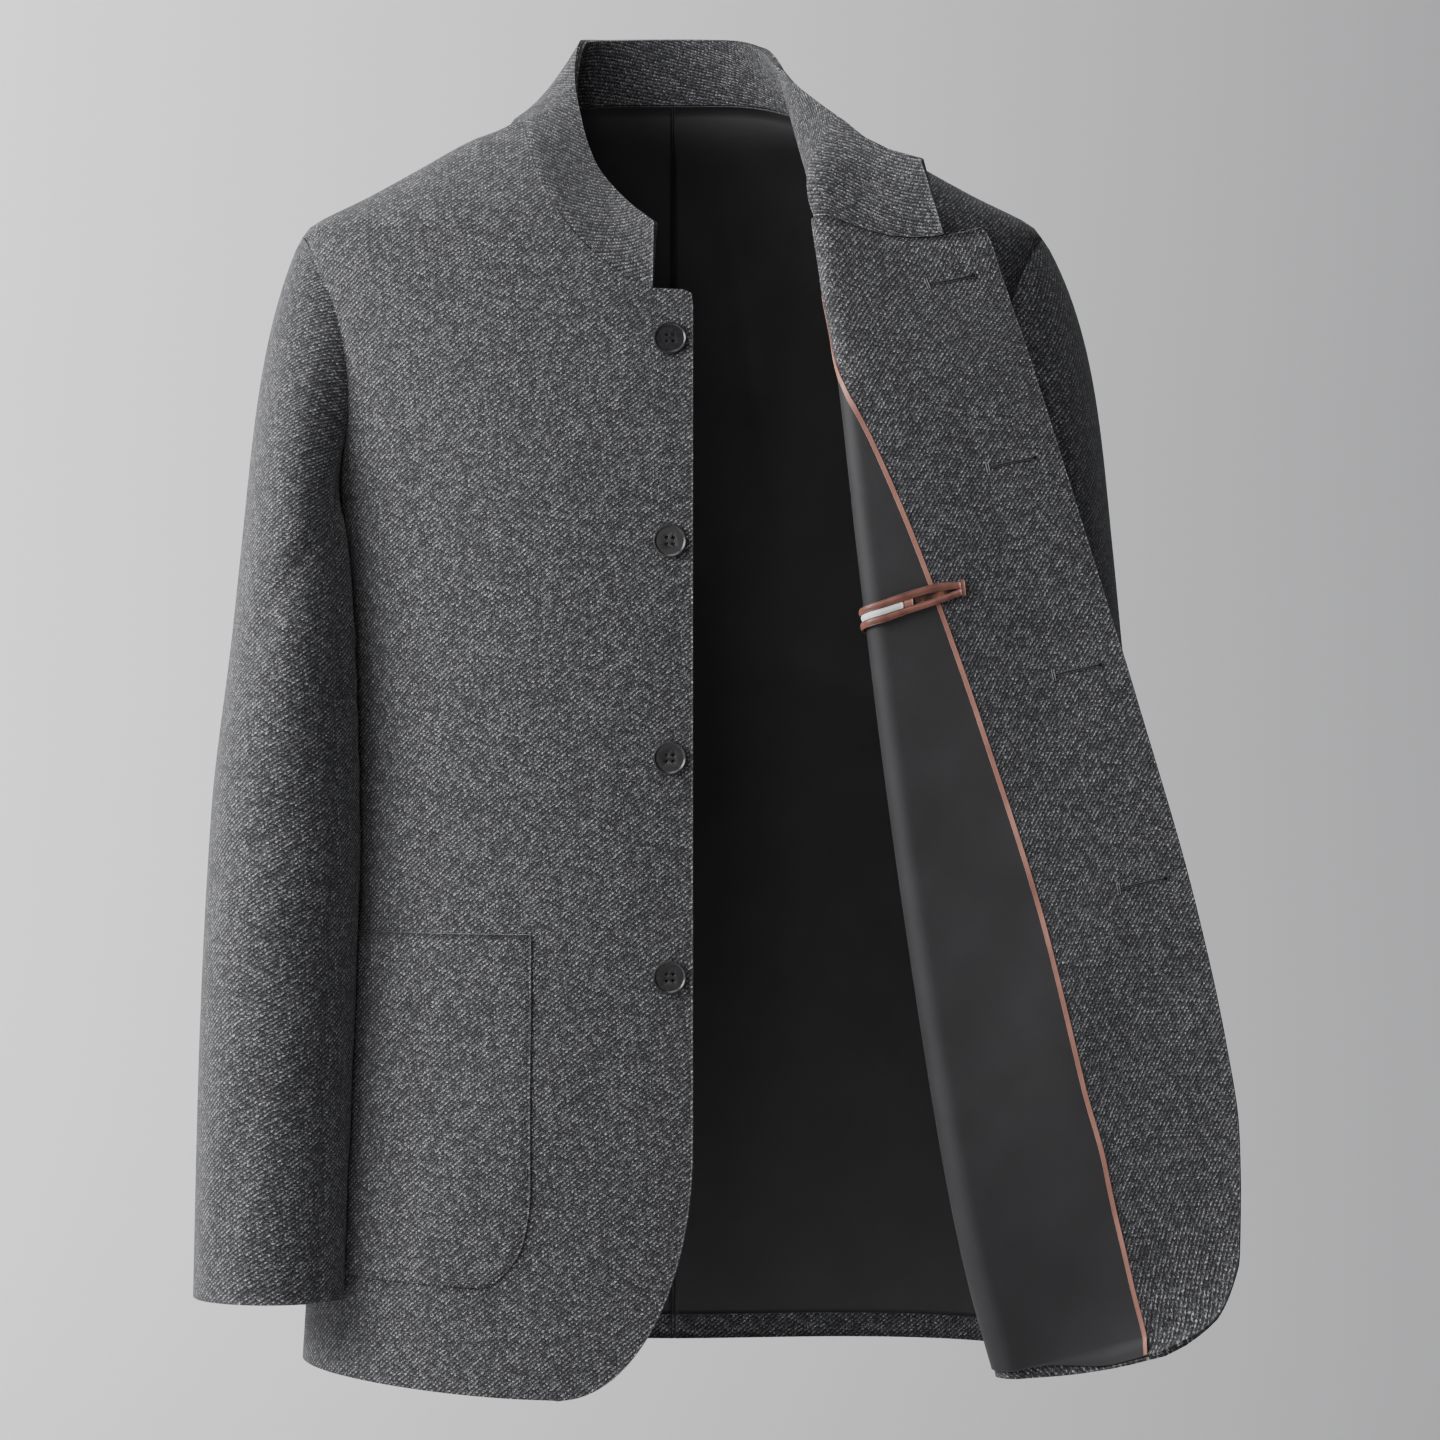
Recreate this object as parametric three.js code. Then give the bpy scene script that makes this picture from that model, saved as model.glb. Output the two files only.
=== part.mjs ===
import * as THREE from "three";

// A tailored wool jacket with a standing collar, hollow, its left front turned back.
// Millimetres, +Z up, the fronts face -Y, and +X is the wearer's left.
// The origin is the middle of the neck opening, level with its seam at the shoulders.

// Layers of cloth, from the outside in: wool, then lining or facing
const clothWall = 1.8;
const liningWall = 1;
const layerGap = 0.3;
const seamHalf = 0.15;
const liningTrim = 0.3;

// Body of the jacket, in level sections
const squareness = 2.3;
const bodySections = [
  { z: 8, halfWidth: 87, front: 12, back: 62 },
  { z: -9, halfWidth: 91, front: 22, back: 66 },
  { z: -20, halfWidth: 113, front: 36, back: 76 },
  { z: -37, halfWidth: 145, front: 51, back: 86 },
  { z: -55, halfWidth: 180, front: 64, back: 93 },
  { z: -77, halfWidth: 222, front: 76, back: 98 },
  { z: -98, halfWidth: 221, front: 84, back: 102 },
  { z: -124, halfWidth: 217, front: 92, back: 106 },
  { z: -178, halfWidth: 210, front: 104, back: 111 },
  { z: -235, halfWidth: 205, front: 113, back: 112 },
  { z: -309, halfWidth: 201, front: 119, back: 108 },
  { z: -420, halfWidth: 196, front: 122, back: 99 },
  { z: -530, halfWidth: 202, front: 125, back: 104 },
  { z: -650, halfWidth: 213, front: 129, back: 112 },
  { z: -756, halfWidth: 220, front: 132, back: 116 },
];
const hemRiseFrom = -612;
const frontHem = { low: -756, riseAtSide: 11, flatTo: 66 };
const backHem = { low: -750, riseAtSide: 5 };

// Armhole, from the underarm to the shoulder tip
const underarmZ = -235;
const shoulderTipZ = -77;
const armholeDepth = 0.1;
const armholeRoundness = 0.6;

// Neckline, front edge and the facing behind it
const neck = { halfWidth: 88, topZ: -8, drop: 108, squareness: 1.65, backRise: 13, riseFade: 28 };
const frontOverlap = 13;
const notchZ = -115;
const notchCorner = [
  { z: -115, inset: 5 },
  { z: -117, inset: 1 },
  { z: -124, inset: 0 },
];
const hemCorner = { from: -612, height: 144, width: 78 };
const facingSeam = 80;
const facingNeckShare = 0.3;
const pipingWidth = 3;

// Rows of the panels, from the neck to the hem
const frontRows = [
  -9.5, -20, -37, -55, -72, -77, -83, -98, -108, -114, -115, -117, -124, -150, -178, -205, -226,
  -235, -265, -296, -309, -350, -396, -440, -489, -530, -570, -612, -650, -675, -693, -715, -735,
  -748, -754, -756,
];
const backRows = [
  -9.5, -20, -37, -55, -77, -83, -98, -124, -150, -178, -205, -226, -235, -270, -309, -350, -396,
  -440, -489, -530, -570, -612, -650, -693, -735, -750,
];
const flapTopRow = -72;
const collarEndRow = -114;
const liningTopRow = -117;
const liningHemRow = -735;
const foldedLiningHemRow = -748;
const facingColumns = 3;
const frontShares = [0.2, 0.4, 0.58, 0.74, 0.88, 1];
const backColumns = 9;

// Turned back left front: the crest of its fold, the radius of the roll, the outer edge
// of the turned part, the dip of its rows and the share of its width up to the facing
const foldSections = [
  { z: -72, crest: 84, roll: 7, edgeX: 181, edgeY: -84, edgeZ: -78, dip: 9, facing: 0.05 },
  { z: -77, crest: 84.5, roll: 7, edgeX: 184.5, edgeY: -84.5, edgeZ: -82, dip: 8, facing: 0.05 },
  { z: -98, crest: 87.5, roll: 7, edgeX: 193, edgeY: -86, edgeZ: -107, dip: 5, facing: 0.05 },
  { z: -117, crest: 90, roll: 7, edgeX: 199, edgeY: -89, edgeZ: -126, dip: 2, facing: 0.06 },
  { z: -150, crest: 96, roll: 7, edgeX: 206.5, edgeY: -94, edgeZ: -149, dip: 0, facing: 0.1 },
  { z: -265, crest: 109, roll: 8, edgeX: 235, edgeY: -108, edgeZ: -242, dip: 0, facing: 0.22 },
  { z: -387, crest: 124, roll: 9, edgeX: 269, edgeY: -115, edgeZ: -353, dip: 0, facing: 0.377 },
  { z: -513, crest: 142, roll: 10, edgeX: 302, edgeY: -116, edgeZ: -468, dip: 0, facing: 0.47 },
  { z: -612, crest: 158, roll: 11, edgeX: 321.5, edgeY: -115, edgeZ: -557, dip: 0, facing: 0.51 },
  { z: -660, crest: 167, roll: 11, edgeX: 328, edgeY: -115, edgeZ: -602, dip: 0, facing: 0.54 },
  { z: -700, crest: 176, roll: 11, edgeX: 329, edgeY: -114, edgeZ: -640, dip: 0, facing: 0.57 },
  { z: -730, crest: 184, roll: 11, edgeX: 323, edgeY: -113, edgeZ: -676, dip: 0, facing: 0.61 },
  { z: -748, crest: 189, roll: 11, edgeX: 306, edgeY: -113, edgeZ: -710, dip: 0, facing: 0.7 },
  { z: -756, crest: 191, roll: 11, edgeX: 277, edgeY: -113, edgeZ: -733, dip: 0, facing: 0.94 },
];
const flapHeading = THREE.MathUtils.degToRad(3);
const flapRise = 1.5;
const flapFacingColumns = 4;
const flapLiningColumns = 3;
const rollColumns = 4;
const leftSideColumns = 4;
const leftNeckline = [
  { z: -9.5, x: 88 },
  { z: -37, x: 90.5 },
  { z: -72, x: 92 },
];

// Collar: its top edge, how far the band bends from a straight one, and how far it
// stands on the panel, by the share of its length from the right end to the left end
const collarSections = [
  { share: 0, x: -9, y: -76, z: -74, bendX: 0, bendY: 0, bendZ: 0, lift: 0 },
  { share: 0.07, x: -26, y: -58, z: -60, bendX: 0, bendY: 0, bendZ: 0, lift: 0.3 },
  { share: 0.144, x: -45, y: -36, z: -36, bendX: 0, bendY: 0, bendZ: 0, lift: 0.7 },
  { share: 0.227, x: -54, y: -14, z: -8, bendX: -1, bendY: 0, bendZ: 0, lift: 1 },
  { share: 0.301, x: -58, y: 12, z: 22, bendX: -1, bendY: 0, bendZ: 0, lift: 1 },
  { share: 0.365, x: -54, y: 42, z: 41, bendX: -1, bendY: 1, bendZ: 0, lift: 1 },
  { share: 0.43, x: -34, y: 55, z: 50, bendX: 0, bendY: 1, bendZ: 0, lift: 1 },
  { share: 0.511, x: 0, y: 60, z: 51, bendX: 0, bendY: 1, bendZ: 0, lift: 1 },
  { share: 0.592, x: 34, y: 55, z: 50, bendX: 0, bendY: 1, bendZ: 0, lift: 1 },
  { share: 0.656, x: 54, y: 44, z: 44, bendX: -2, bendY: 0, bendZ: 0, lift: 1 },
  { share: 0.72, x: 67, y: 11, z: 26, bendX: -6, bendY: -4, bendZ: -4, lift: 1 },
  { share: 0.77, x: 76, y: -9, z: 13, bendX: -8, bendY: -1, bendZ: -4, lift: 1 },
  { share: 0.81, x: 87, y: -24, z: 2, bendX: -7, bendY: -2, bendZ: -4, lift: 1 },
  { share: 0.862, x: 100, y: -42, z: -10, bendX: 0, bendY: -3, bendZ: 0, lift: 1 },
  { share: 0.93, x: 122, y: -62, z: -28, bendX: 0, bendY: 0, bendZ: 0, lift: 0 },
  { share: 1, x: 147, y: -77, z: -37, bendX: 0, bendY: 0, bendZ: 0, lift: 0 },
];
const collarRows = 4;
const collarSeamGap = 0.5;
const collarFacingTrim = 1;
const collarFlapColumns = 3;

// Sleeves: level sections below the armhole, measured from the middle plane of the body
const sleeveSections = [
  { z: -262, outer: 254, inner: 184, centreY: -20, halfDepth: 72 },
  { z: -317, outer: 259, inner: 180, centreY: -30, halfDepth: 68 },
  { z: -420, outer: 270, inner: 180, centreY: -43, halfDepth: 60 },
  { z: -560, outer: 279, inner: 184, centreY: -55, halfDepth: 54 },
  { z: -709, outer: 285, inner: 190, centreY: -62, halfDepth: 48 },
];
const sleeveRows = [-317, -370, -420, -490, -560, -635, -709];
const sleeveStations = [-226, -205, -178, -150, -124, -98, -83];
const capRows = 5;
const capLean = { out: 0.45, forward: 0.35, topDrop: 1, frontDrop: 0.6 };
const sleeveClearance = 3 * clothWall + 3;
const leftSleeveSetBack = 18;
const frontSleeveSeam = 2;
const backSleeveSeam = 11;

// Pockets and buttons
const pocketRows = [-489, -530, -570, -612, -650, -675, -693];
const pocketCornerShares = [0, 0, 0, 0, 0.04, 0.2, 0.75];
const welt = { top: -296, bottom: -309 };
const button = { radius: 9.7, thickness: 3, holeRadius: 0.9, holeSpacing: 1.9, segments: 24 };
const buttonHeights = [-144, -262, -387, -513];

const woolMaterial = { color: 0x4a4a4d, roughness: 0.95, metalness: 0 };
const liningMaterial = { color: 0x252528, roughness: 0.6, metalness: 0 };
const pipingMaterial = { color: 0x9a5f4d, roughness: 0.5, metalness: 0 };
const buttonMaterial = { color: 0x121213, roughness: 0.3, metalness: 0 };

const group = new THREE.Group();
const degree = Math.PI / 180;

// A value of a table between its rows, on a curve that never overshoots a row.
function tableValue(rows, key, at, column) {
  const last = rows.length - 1;
  const falling = rows[0][key] > rows[last][key];
  const next = rows.findIndex((row) => (falling ? row[key] <= at : row[key] >= at));
  if (next < 0) return rows[last][column];
  if (next === 0) return rows[0][column];
  const rise = (i) => (rows[i + 1][column] - rows[i][column]) / (rows[i + 1][key] - rows[i][key]);
  const slope = (i) => {
    if (i === 0) return rise(0);
    if (i === last) return rise(last - 1);
    const before = rise(i - 1);
    const after = rise(i);
    return before * after <= 0 ? 0 : (2 * before * after) / (before + after);
  };
  const from = rows[next - 1];
  const to = rows[next];
  const span = to[key] - from[key];
  const t = (at - from[key]) / span;
  const s = 1 - t;
  return (
    s * s * (1 + 2 * t) * from[column] +
    t * t * (1 + 2 * s) * to[column] +
    t * s * span * (s * slope(next - 1) - t * slope(next))
  );
}

// A point of the body's inner face. The angle is 0 at the front and 90 degrees at the side.
function bodyPoint(angle, z) {
  const width = tableValue(bodySections, "z", z, "halfWidth");
  const depth = tableValue(bodySections, "z", z, Math.cos(angle) > 0 ? "front" : "back");
  const across = (Math.abs(Math.sin(angle)) / width) ** squareness;
  const along = (Math.abs(Math.cos(angle)) / depth) ** squareness;
  const radius = (across + along) ** (-1 / squareness);
  return new THREE.Vector3(radius * Math.sin(angle), -radius * Math.cos(angle), z);
}

function bodyNormal(angle, z) {
  const step = 0.01;
  const around = bodyPoint(angle + step, z).sub(bodyPoint(angle - step, z));
  const up = bodyPoint(angle, z + 1).sub(bodyPoint(angle, z - 1));
  return around.cross(up).normalize();
}

// Arc lengths and widths around the front half of one section.
const sectionCache = new Map();
function sectionTable(z) {
  if (!sectionCache.has(z)) {
    const rows = [];
    let arc = 0;
    let last = bodyPoint(0, z);
    for (let angle = 0; angle <= 90; angle += 1.5) {
      const point = bodyPoint(angle * degree, z);
      arc += point.distanceTo(last);
      rows.push({ angle: angle * degree, arc, x: point.x });
      last = point;
    }
    sectionCache.set(z, rows);
  }
  return sectionCache.get(z);
}

function angleAt(z, column, value) {
  const rows = sectionTable(z);
  const size = Math.abs(value);
  const next = rows.findIndex((row) => row[column] >= size);
  if (next < 0) return 90 * degree;
  if (next === 0) return 0;
  const from = rows[next - 1];
  const to = rows[next];
  const share = (size - from[column]) / (to[column] - from[column]);
  return Math.sign(value) * (from.angle + share * (to.angle - from.angle));
}

function arcAt(z, angle) {
  const rows = sectionTable(z);
  const place = (Math.abs(angle) / degree / 1.5);
  const before = rows[Math.min(Math.floor(place), rows.length - 1)];
  const after = rows[Math.min(Math.floor(place) + 1, rows.length - 1)];
  return Math.sign(angle) * (before.arc + (place - Math.floor(place)) * (after.arc - before.arc));
}

// Half width of the body at the armhole edge.
function armholeX(z) {
  const share = (z - underarmZ) / (shoulderTipZ - underarmZ);
  const width = tableValue(bodySections, "z", z, "halfWidth");
  if (share <= 0 || share >= 1) return width;
  return width * (1 - armholeDepth * Math.sin(Math.PI * share) ** armholeRoundness);
}

function sideAngle(z, isBack) {
  if (z >= shoulderTipZ || z <= underarmZ) return 90 * degree;
  const width = armholeX(z) / tableValue(bodySections, "z", z, "halfWidth");
  const depth = tableValue(bodySections, "z", z, isBack ? "back" : "front");
  const y = depth * (1 - width ** squareness) ** (1 / squareness);
  const angle = Math.atan2(armholeX(z), y);
  return isBack ? Math.PI - angle : angle;
}

// Half width of the neckline at a height on the front.
function necklineX(z) {
  const drop = Math.min((neck.topZ - z) / neck.drop, 1);
  return neck.halfWidth * (1 - drop ** neck.squareness) ** (1 / neck.squareness);
}

// Distance of the front edge from the centre line, measured around the body.
function frontEdgeArc(z) {
  if (z > notchZ) return arcAt(z, angleAt(z, "x", necklineX(z)));
  const drop = Math.max(0, (hemCorner.from - z) / hemCorner.height);
  const curve = hemCorner.width * (1 - Math.sqrt(Math.max(0, 1 - drop * drop)));
  return curve + tableValue(notchCorner, "z", z, "inset") - frontOverlap;
}

// Height of a panel row, with the hem rising towards the side.
function frontHeight(z, arc, sideArc) {
  const fade = THREE.MathUtils.clamp((hemRiseFrom - z) / (hemRiseFrom - frontHem.low), 0, 1);
  const side = THREE.MathUtils.smoothstep(arc, frontHem.flatTo, sideArc);
  return z + frontHem.riseAtSide * side * fade;
}

function frontPoint(z, arc, sideArc) {
  const height = frontHeight(z, arc, sideArc);
  const angle = arc >= sideArc ? sideAngle(z, false) : angleAt(z, "arc", arc);
  return { point: bodyPoint(angle, height), normal: bodyNormal(angle, height) };
}

function between(a, b, share) {
  return {
    point: a.point.clone().lerp(b.point, share),
    normal: a.normal.clone().lerp(b.normal, share).normalize(),
  };
}

// Rows of the right front, drawn on the left side of the body: front edge to side seam.
function flatFrontRow(z) {
  const from = frontEdgeArc(z);
  const to = arcAt(z, sideAngle(z, false));
  const seam = Math.max(facingSeam, from + facingNeckShare * (to - from));
  const arcs = [];
  for (let i = 0; i <= facingColumns; i += 1) {
    arcs.push(from + ((seam - from) * i) / facingColumns);
  }
  frontShares.forEach((share) => arcs.push(seam + (to - seam) * share));
  const row = arcs.map((arc) => frontPoint(z, arc, to));
  const seamPoint = row[facingColumns];
  const beside = row[facingColumns + 1];
  const step = pipingWidth / seamPoint.point.distanceTo(beside.point);
  row.splice(facingColumns + 1, 0, between(seamPoint, beside, step));
  return row;
}

// Rows of the left front: the turned part from its edge in, the roll, then the side.
function foldedFrontRow(z) {
  const sideArc = arcAt(z, sideAngle(z, false));
  const fold = (column) => tableValue(foldSections, "z", z, column);
  const hasFlap = z <= flapTopRow;
  const radius = fold("roll");
  const row = [];
  let startX = tableValue(leftNeckline, "z", z, "x");
  if (hasFlap) {
    const guess = bodyNormal(angleAt(z, "x", fold("crest") + radius), z);
    startX = fold("crest") + radius * (1 - guess.x);
  }
  const startArc = arcAt(z, angleAt(z, "x", startX));
  const start = frontPoint(z, startArc, sideArc);
  if (hasFlap) {
    const out = new THREE.Vector3(start.normal.x, start.normal.y, 0).normalize();
    const inward = new THREE.Vector3(out.y, -out.x, 0);
    const centre = start.point.clone().addScaledVector(out, radius);
    const turn = Math.PI - Math.atan2(out.x, -out.y) + flapHeading;
    const rollPoint = (share) => {
      const angle = turn * share;
      const spoke = out.clone().multiplyScalar(-Math.cos(angle));
      spoke.addScaledVector(inward, Math.sin(angle));
      const point = centre.clone().addScaledVector(spoke, radius);
      return { point, normal: spoke.clone().negate() };
    };
    const rollEnd = rollPoint(1);
    const edge = new THREE.Vector3(fold("edgeX"), fold("edgeY"), fold("edgeZ"));
    const reach = edge.x - rollEnd.point.x;
    const flapPoint = (share) => {
      const point = rollEnd.point.clone();
      point.x += reach * share;
      const lead = reach * share * Math.tan(flapHeading);
      const miss = edge.y - rollEnd.point.y - reach * Math.tan(flapHeading);
      point.y += lead + miss * share * share;
      const ease = flapRise * share - (flapRise - 1) * share * share;
      point.z += (edge.z - rollEnd.point.z) * ease;
      point.z -= fold("dip") * Math.sin(Math.PI * share);
      return { point, normal: rollEnd.normal.clone() };
    };
    const seam = fold("facing");
    for (let i = 0; i < flapFacingColumns; i += 1) {
      row.push(flapPoint(1 + ((seam - 1) * i) / flapFacingColumns));
    }
    const inner = [];
    for (let i = 0; i <= flapLiningColumns; i += 1) {
      inner.push(flapPoint(seam * (1 - i / flapLiningColumns)));
    }
    const step = Math.min(0.9, pipingWidth / inner[0].point.distanceTo(inner[1].point));
    row.push(inner[0], between(inner[0], inner[1], step), ...inner.slice(1));
    for (let i = 1; i < rollColumns; i += 1) row.push(rollPoint(1 - i / rollColumns));
  } else {
    const hidden = flapFacingColumns + flapLiningColumns + rollColumns + 1;
    for (let i = 0; i < hidden; i += 1) row.push(null);
  }
  for (let i = 0; i <= leftSideColumns; i += 1) {
    const arc = startArc + ((sideArc - startArc) * i) / leftSideColumns;
    row.push(i === 0 ? start : frontPoint(z, arc, sideArc));
  }
  return row;
}

// Rows of the left half of the back, from the side seam to the centre seam.
function backRow(z) {
  const from = sideAngle(z, true);
  const neckFade = THREE.MathUtils.smoothstep(z, neck.topZ - neck.riseFade, neck.topZ);
  const hemFade = THREE.MathUtils.clamp((hemRiseFrom - z) / (hemRiseFrom - backHem.low), 0, 1);
  const row = [];
  for (let i = 0; i <= backColumns; i += 1) {
    const angle = from + ((Math.PI - from) * i) / backColumns;
    const towardsSide = Math.sin(angle) ** 2;
    const rise = neck.backRise * (1 - towardsSide) * neckFade;
    const height = z + rise + backHem.riseAtSide * towardsSide * hemFade;
    row.push({ point: bodyPoint(angle, height), normal: bodyNormal(angle, height) });
  }
  return row;
}

// Normals of a grid whose shape isn't a section of the body, averaged from its cells.
function averageNormals(grid, fromColumn, toColumn) {
  const sums = new Map();
  const add = (cell, normal) => {
    if (cell) sums.set(cell, (sums.get(cell) || new THREE.Vector3()).add(normal));
  };
  for (let i = 0; i + 1 < grid.length; i += 1) {
    for (let j = fromColumn; j < toColumn; j += 1) {
      const corners = [grid[i][j], grid[i][j + 1], grid[i + 1][j + 1], grid[i + 1][j]];
      if (corners.some((corner) => !corner)) continue;
      const first = corners[2].point.clone().sub(corners[0].point);
      const second = corners[3].point.clone().sub(corners[1].point);
      const normal = first.cross(second).normalize();
      if (normal.dot(corners[0].normal) < 0) normal.negate();
      corners.forEach((corner) => add(corner, normal));
    }
  }
  sums.forEach((normal, cell) => cell.normal.copy(normal.normalize()));
}

function mirrored(grid) {
  const flip = (vector) => new THREE.Vector3(-vector.x, vector.y, vector.z);
  const copy = (cell) => cell && { point: flip(cell.point), normal: flip(cell.normal) };
  return grid.map((row) => row.map(copy));
}

// The part of a grid that one piece covers. Trims move its outer rows and columns in.
function piece(grid, rows, columns, trim = {}) {
  const cut = rows.map((i) => columns.map((j) => grid[i][j]));
  const shifted = (cell, next, distance) =>
    cell && next ? between(cell, next, distance / cell.point.distanceTo(next.point)) : cell;
  const width = columns.length - 1;
  const height = rows.length - 1;
  const trimmed = cut.map((row) => {
    const copy = [...row];
    if (trim.first) copy[0] = shifted(row[0], row[1], trim.first);
    if (trim.last) copy[width] = shifted(row[width], row[width - 1], trim.last);
    return copy;
  });
  const result = trimmed.map((row) => [...row]);
  for (let j = 0; j <= width; j += 1) {
    if (trim.top) result[0][j] = shifted(trimmed[0][j], trimmed[1][j], trim.top);
    if (trim.bottom) {
      result[height][j] = shifted(trimmed[height][j], trimmed[height - 1][j], trim.bottom);
    }
  }
  return result;
}

// A closed wall over the cells of a grid, between two distances from its points.
function addWall(name, grid, from, to, material, keep = () => true) {
  const rows = grid.length;
  const columns = grid[0].length;
  const filled = (i, j) => {
    if (i < 0 || j < 0 || i >= rows - 1 || j >= columns - 1) return false;
    const whole = grid[i][j] && grid[i][j + 1] && grid[i + 1][j] && grid[i + 1][j + 1];
    return Boolean(whole) && keep(i, j);
  };
  const positions = [];
  const at = [from, to].map((distance) =>
    grid.map((row) =>
      row.map((cell) => {
        if (!cell) return -1;
        const point = cell.point.clone().addScaledVector(cell.normal, distance);
        positions.push(point.x, point.y, point.z);
        return positions.length / 3 - 1;
      }),
    ),
  );
  const indices = [];
  const quad = (a, b, c, d) => indices.push(a, b, c, a, c, d);
  let facing = 0;
  for (let i = 0; i + 1 < rows; i += 1) {
    for (let j = 0; j + 1 < columns; j += 1) {
      if (!filled(i, j)) continue;
      const across = grid[i][j + 1].point.clone().sub(grid[i][j].point);
      const down = grid[i + 1][j].point.clone().sub(grid[i][j].point);
      facing += down.cross(across).dot(grid[i][j].normal);
    }
  }
  const [low, high] = facing > 0 ? at : [at[1], at[0]];
  for (let i = 0; i + 1 < rows; i += 1) {
    for (let j = 0; j + 1 < columns; j += 1) {
      if (!filled(i, j)) continue;
      quad(high[i][j], high[i + 1][j], high[i + 1][j + 1], high[i][j + 1]);
      quad(low[i][j], low[i][j + 1], low[i + 1][j + 1], low[i + 1][j]);
      if (!filled(i - 1, j)) quad(low[i][j], high[i][j], high[i][j + 1], low[i][j + 1]);
      if (!filled(i + 1, j)) {
        quad(low[i + 1][j + 1], high[i + 1][j + 1], high[i + 1][j], low[i + 1][j]);
      }
      if (!filled(i, j - 1)) quad(low[i + 1][j], high[i + 1][j], high[i][j], low[i][j]);
      if (!filled(i, j + 1)) {
        quad(low[i][j + 1], high[i][j + 1], high[i + 1][j + 1], low[i + 1][j + 1]);
      }
    }
  }
  const geometry = new THREE.BufferGeometry();
  geometry.setAttribute("position", new THREE.Float32BufferAttribute(positions, 3));
  geometry.setIndex(indices);
  geometry.computeVertexNormals();
  const mesh = new THREE.Mesh(geometry, new THREE.MeshStandardMaterial(material));
  mesh.name = name;
  group.add(mesh);
}

function span(from, to) {
  return Array.from({ length: to - from + 1 }, (_, i) => from + i);
}

// Panels of the body
const rightFront = mirrored(frontRows.map(flatFrontRow));
const leftFront = frontRows.map(foldedFrontRow);
const leftBack = backRows.map(backRow);
const rightBack = mirrored(leftBack);
const rollStart = flapFacingColumns + flapLiningColumns + 1;
const sideStart = rollStart + rollColumns;
const leftLast = sideStart + leftSideColumns;
averageNormals(leftFront, 0, rollStart);

const frontRowOf = (z) => frontRows.indexOf(z);
const allFrontRows = span(0, frontRows.length - 1);
const allBackRows = span(0, backRows.length - 1);
const rightLast = facingColumns + 1 + frontShares.length;
const rightColumns = span(0, rightLast).filter((j) => j !== facingColumns + 1);
const leftColumns = span(0, leftLast).filter((j) => j !== flapFacingColumns + 1);

addWall(
  "front_right",
  piece(rightFront, allFrontRows, rightColumns, { last: seamHalf }),
  0,
  clothWall,
  woolMaterial,
);
addWall(
  "front_left",
  piece(leftFront, allFrontRows, leftColumns, { last: seamHalf }),
  0,
  clothWall,
  woolMaterial,
);
const backTrim = { first: seamHalf, last: seamHalf };
const wholeBack = span(0, backColumns);
addWall("back_left", piece(leftBack, allBackRows, wholeBack, backTrim), 0, clothWall, woolMaterial);
addWall("back_right", piece(rightBack, allBackRows, wholeBack, backTrim), 0, clothWall, woolMaterial);

// Lining, facings and piping inside the fronts and the back
const liningFrom = -(layerGap + liningWall);
const facingFrom = -(layerGap + clothWall);
const pipingFrom = liningFrom - layerGap - liningWall;
const pipingTo = liningFrom - layerGap;
const backLiningRows = span(0, backRows.indexOf(liningHemRow));
const backLining = (grid) => piece(grid, backLiningRows, wholeBack, backTrim);
addWall("lining_back_left", backLining(leftBack), liningFrom, -layerGap, liningMaterial);
addWall("lining_back_right", backLining(rightBack), liningFrom, -layerGap, liningMaterial);

const facingRight = piece(rightFront, allFrontRows, span(0, facingColumns));
addWall("facing_right", facingRight, facingFrom, -layerGap, woolMaterial);
const rightLiningColumns = span(facingColumns, rightLast).filter((j) => j !== facingColumns + 1);
const liningTrims = { first: liningTrim, last: seamHalf };
const liningRight = piece(
  rightFront,
  span(0, frontRowOf(liningHemRow)),
  rightLiningColumns,
  liningTrims,
);
addWall("lining_front_right", liningRight, liningFrom, -layerGap, liningMaterial);
const pipingRows = span(frontRowOf(liningTopRow), frontRowOf(liningHemRow));
const pipingRight = piece(rightFront, pipingRows, [facingColumns, facingColumns + 1], {
  first: liningTrim,
});
addWall("piping_right", pipingRight, pipingFrom, pipingTo, pipingMaterial);

const facingLastColumn = leftColumns.indexOf(flapFacingColumns);
const facingTopRows = frontRowOf(liningTopRow) - frontRowOf(flapTopRow);
const facingLeftColumns = leftColumns.filter((j) => j <= sideStart + 1);
const facingLeft = piece(
  leftFront,
  span(frontRowOf(flapTopRow), frontRows.length - 1),
  facingLeftColumns,
);
addWall(
  "facing_left",
  facingLeft,
  facingFrom,
  -layerGap,
  woolMaterial,
  (i, j) => i < facingTopRows || j < facingLastColumn,
);
const liningLeft = piece(
  leftFront,
  span(frontRowOf(liningTopRow), frontRowOf(foldedLiningHemRow)),
  leftColumns.filter((j) => j >= flapFacingColumns),
  { ...liningTrims, top: liningTrim },
);
addWall("lining_front_left", liningLeft, liningFrom, -layerGap, liningMaterial);
const foldedPipingRows = span(frontRowOf(liningTopRow), frontRowOf(foldedLiningHemRow));
const foldedPipingColumns = [flapFacingColumns, flapFacingColumns + 1];
const pipingLeft = piece(leftFront, foldedPipingRows, foldedPipingColumns, { first: liningTrim });
addWall("piping_left", pipingLeft, pipingFrom, pipingTo, pipingMaterial);

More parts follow.
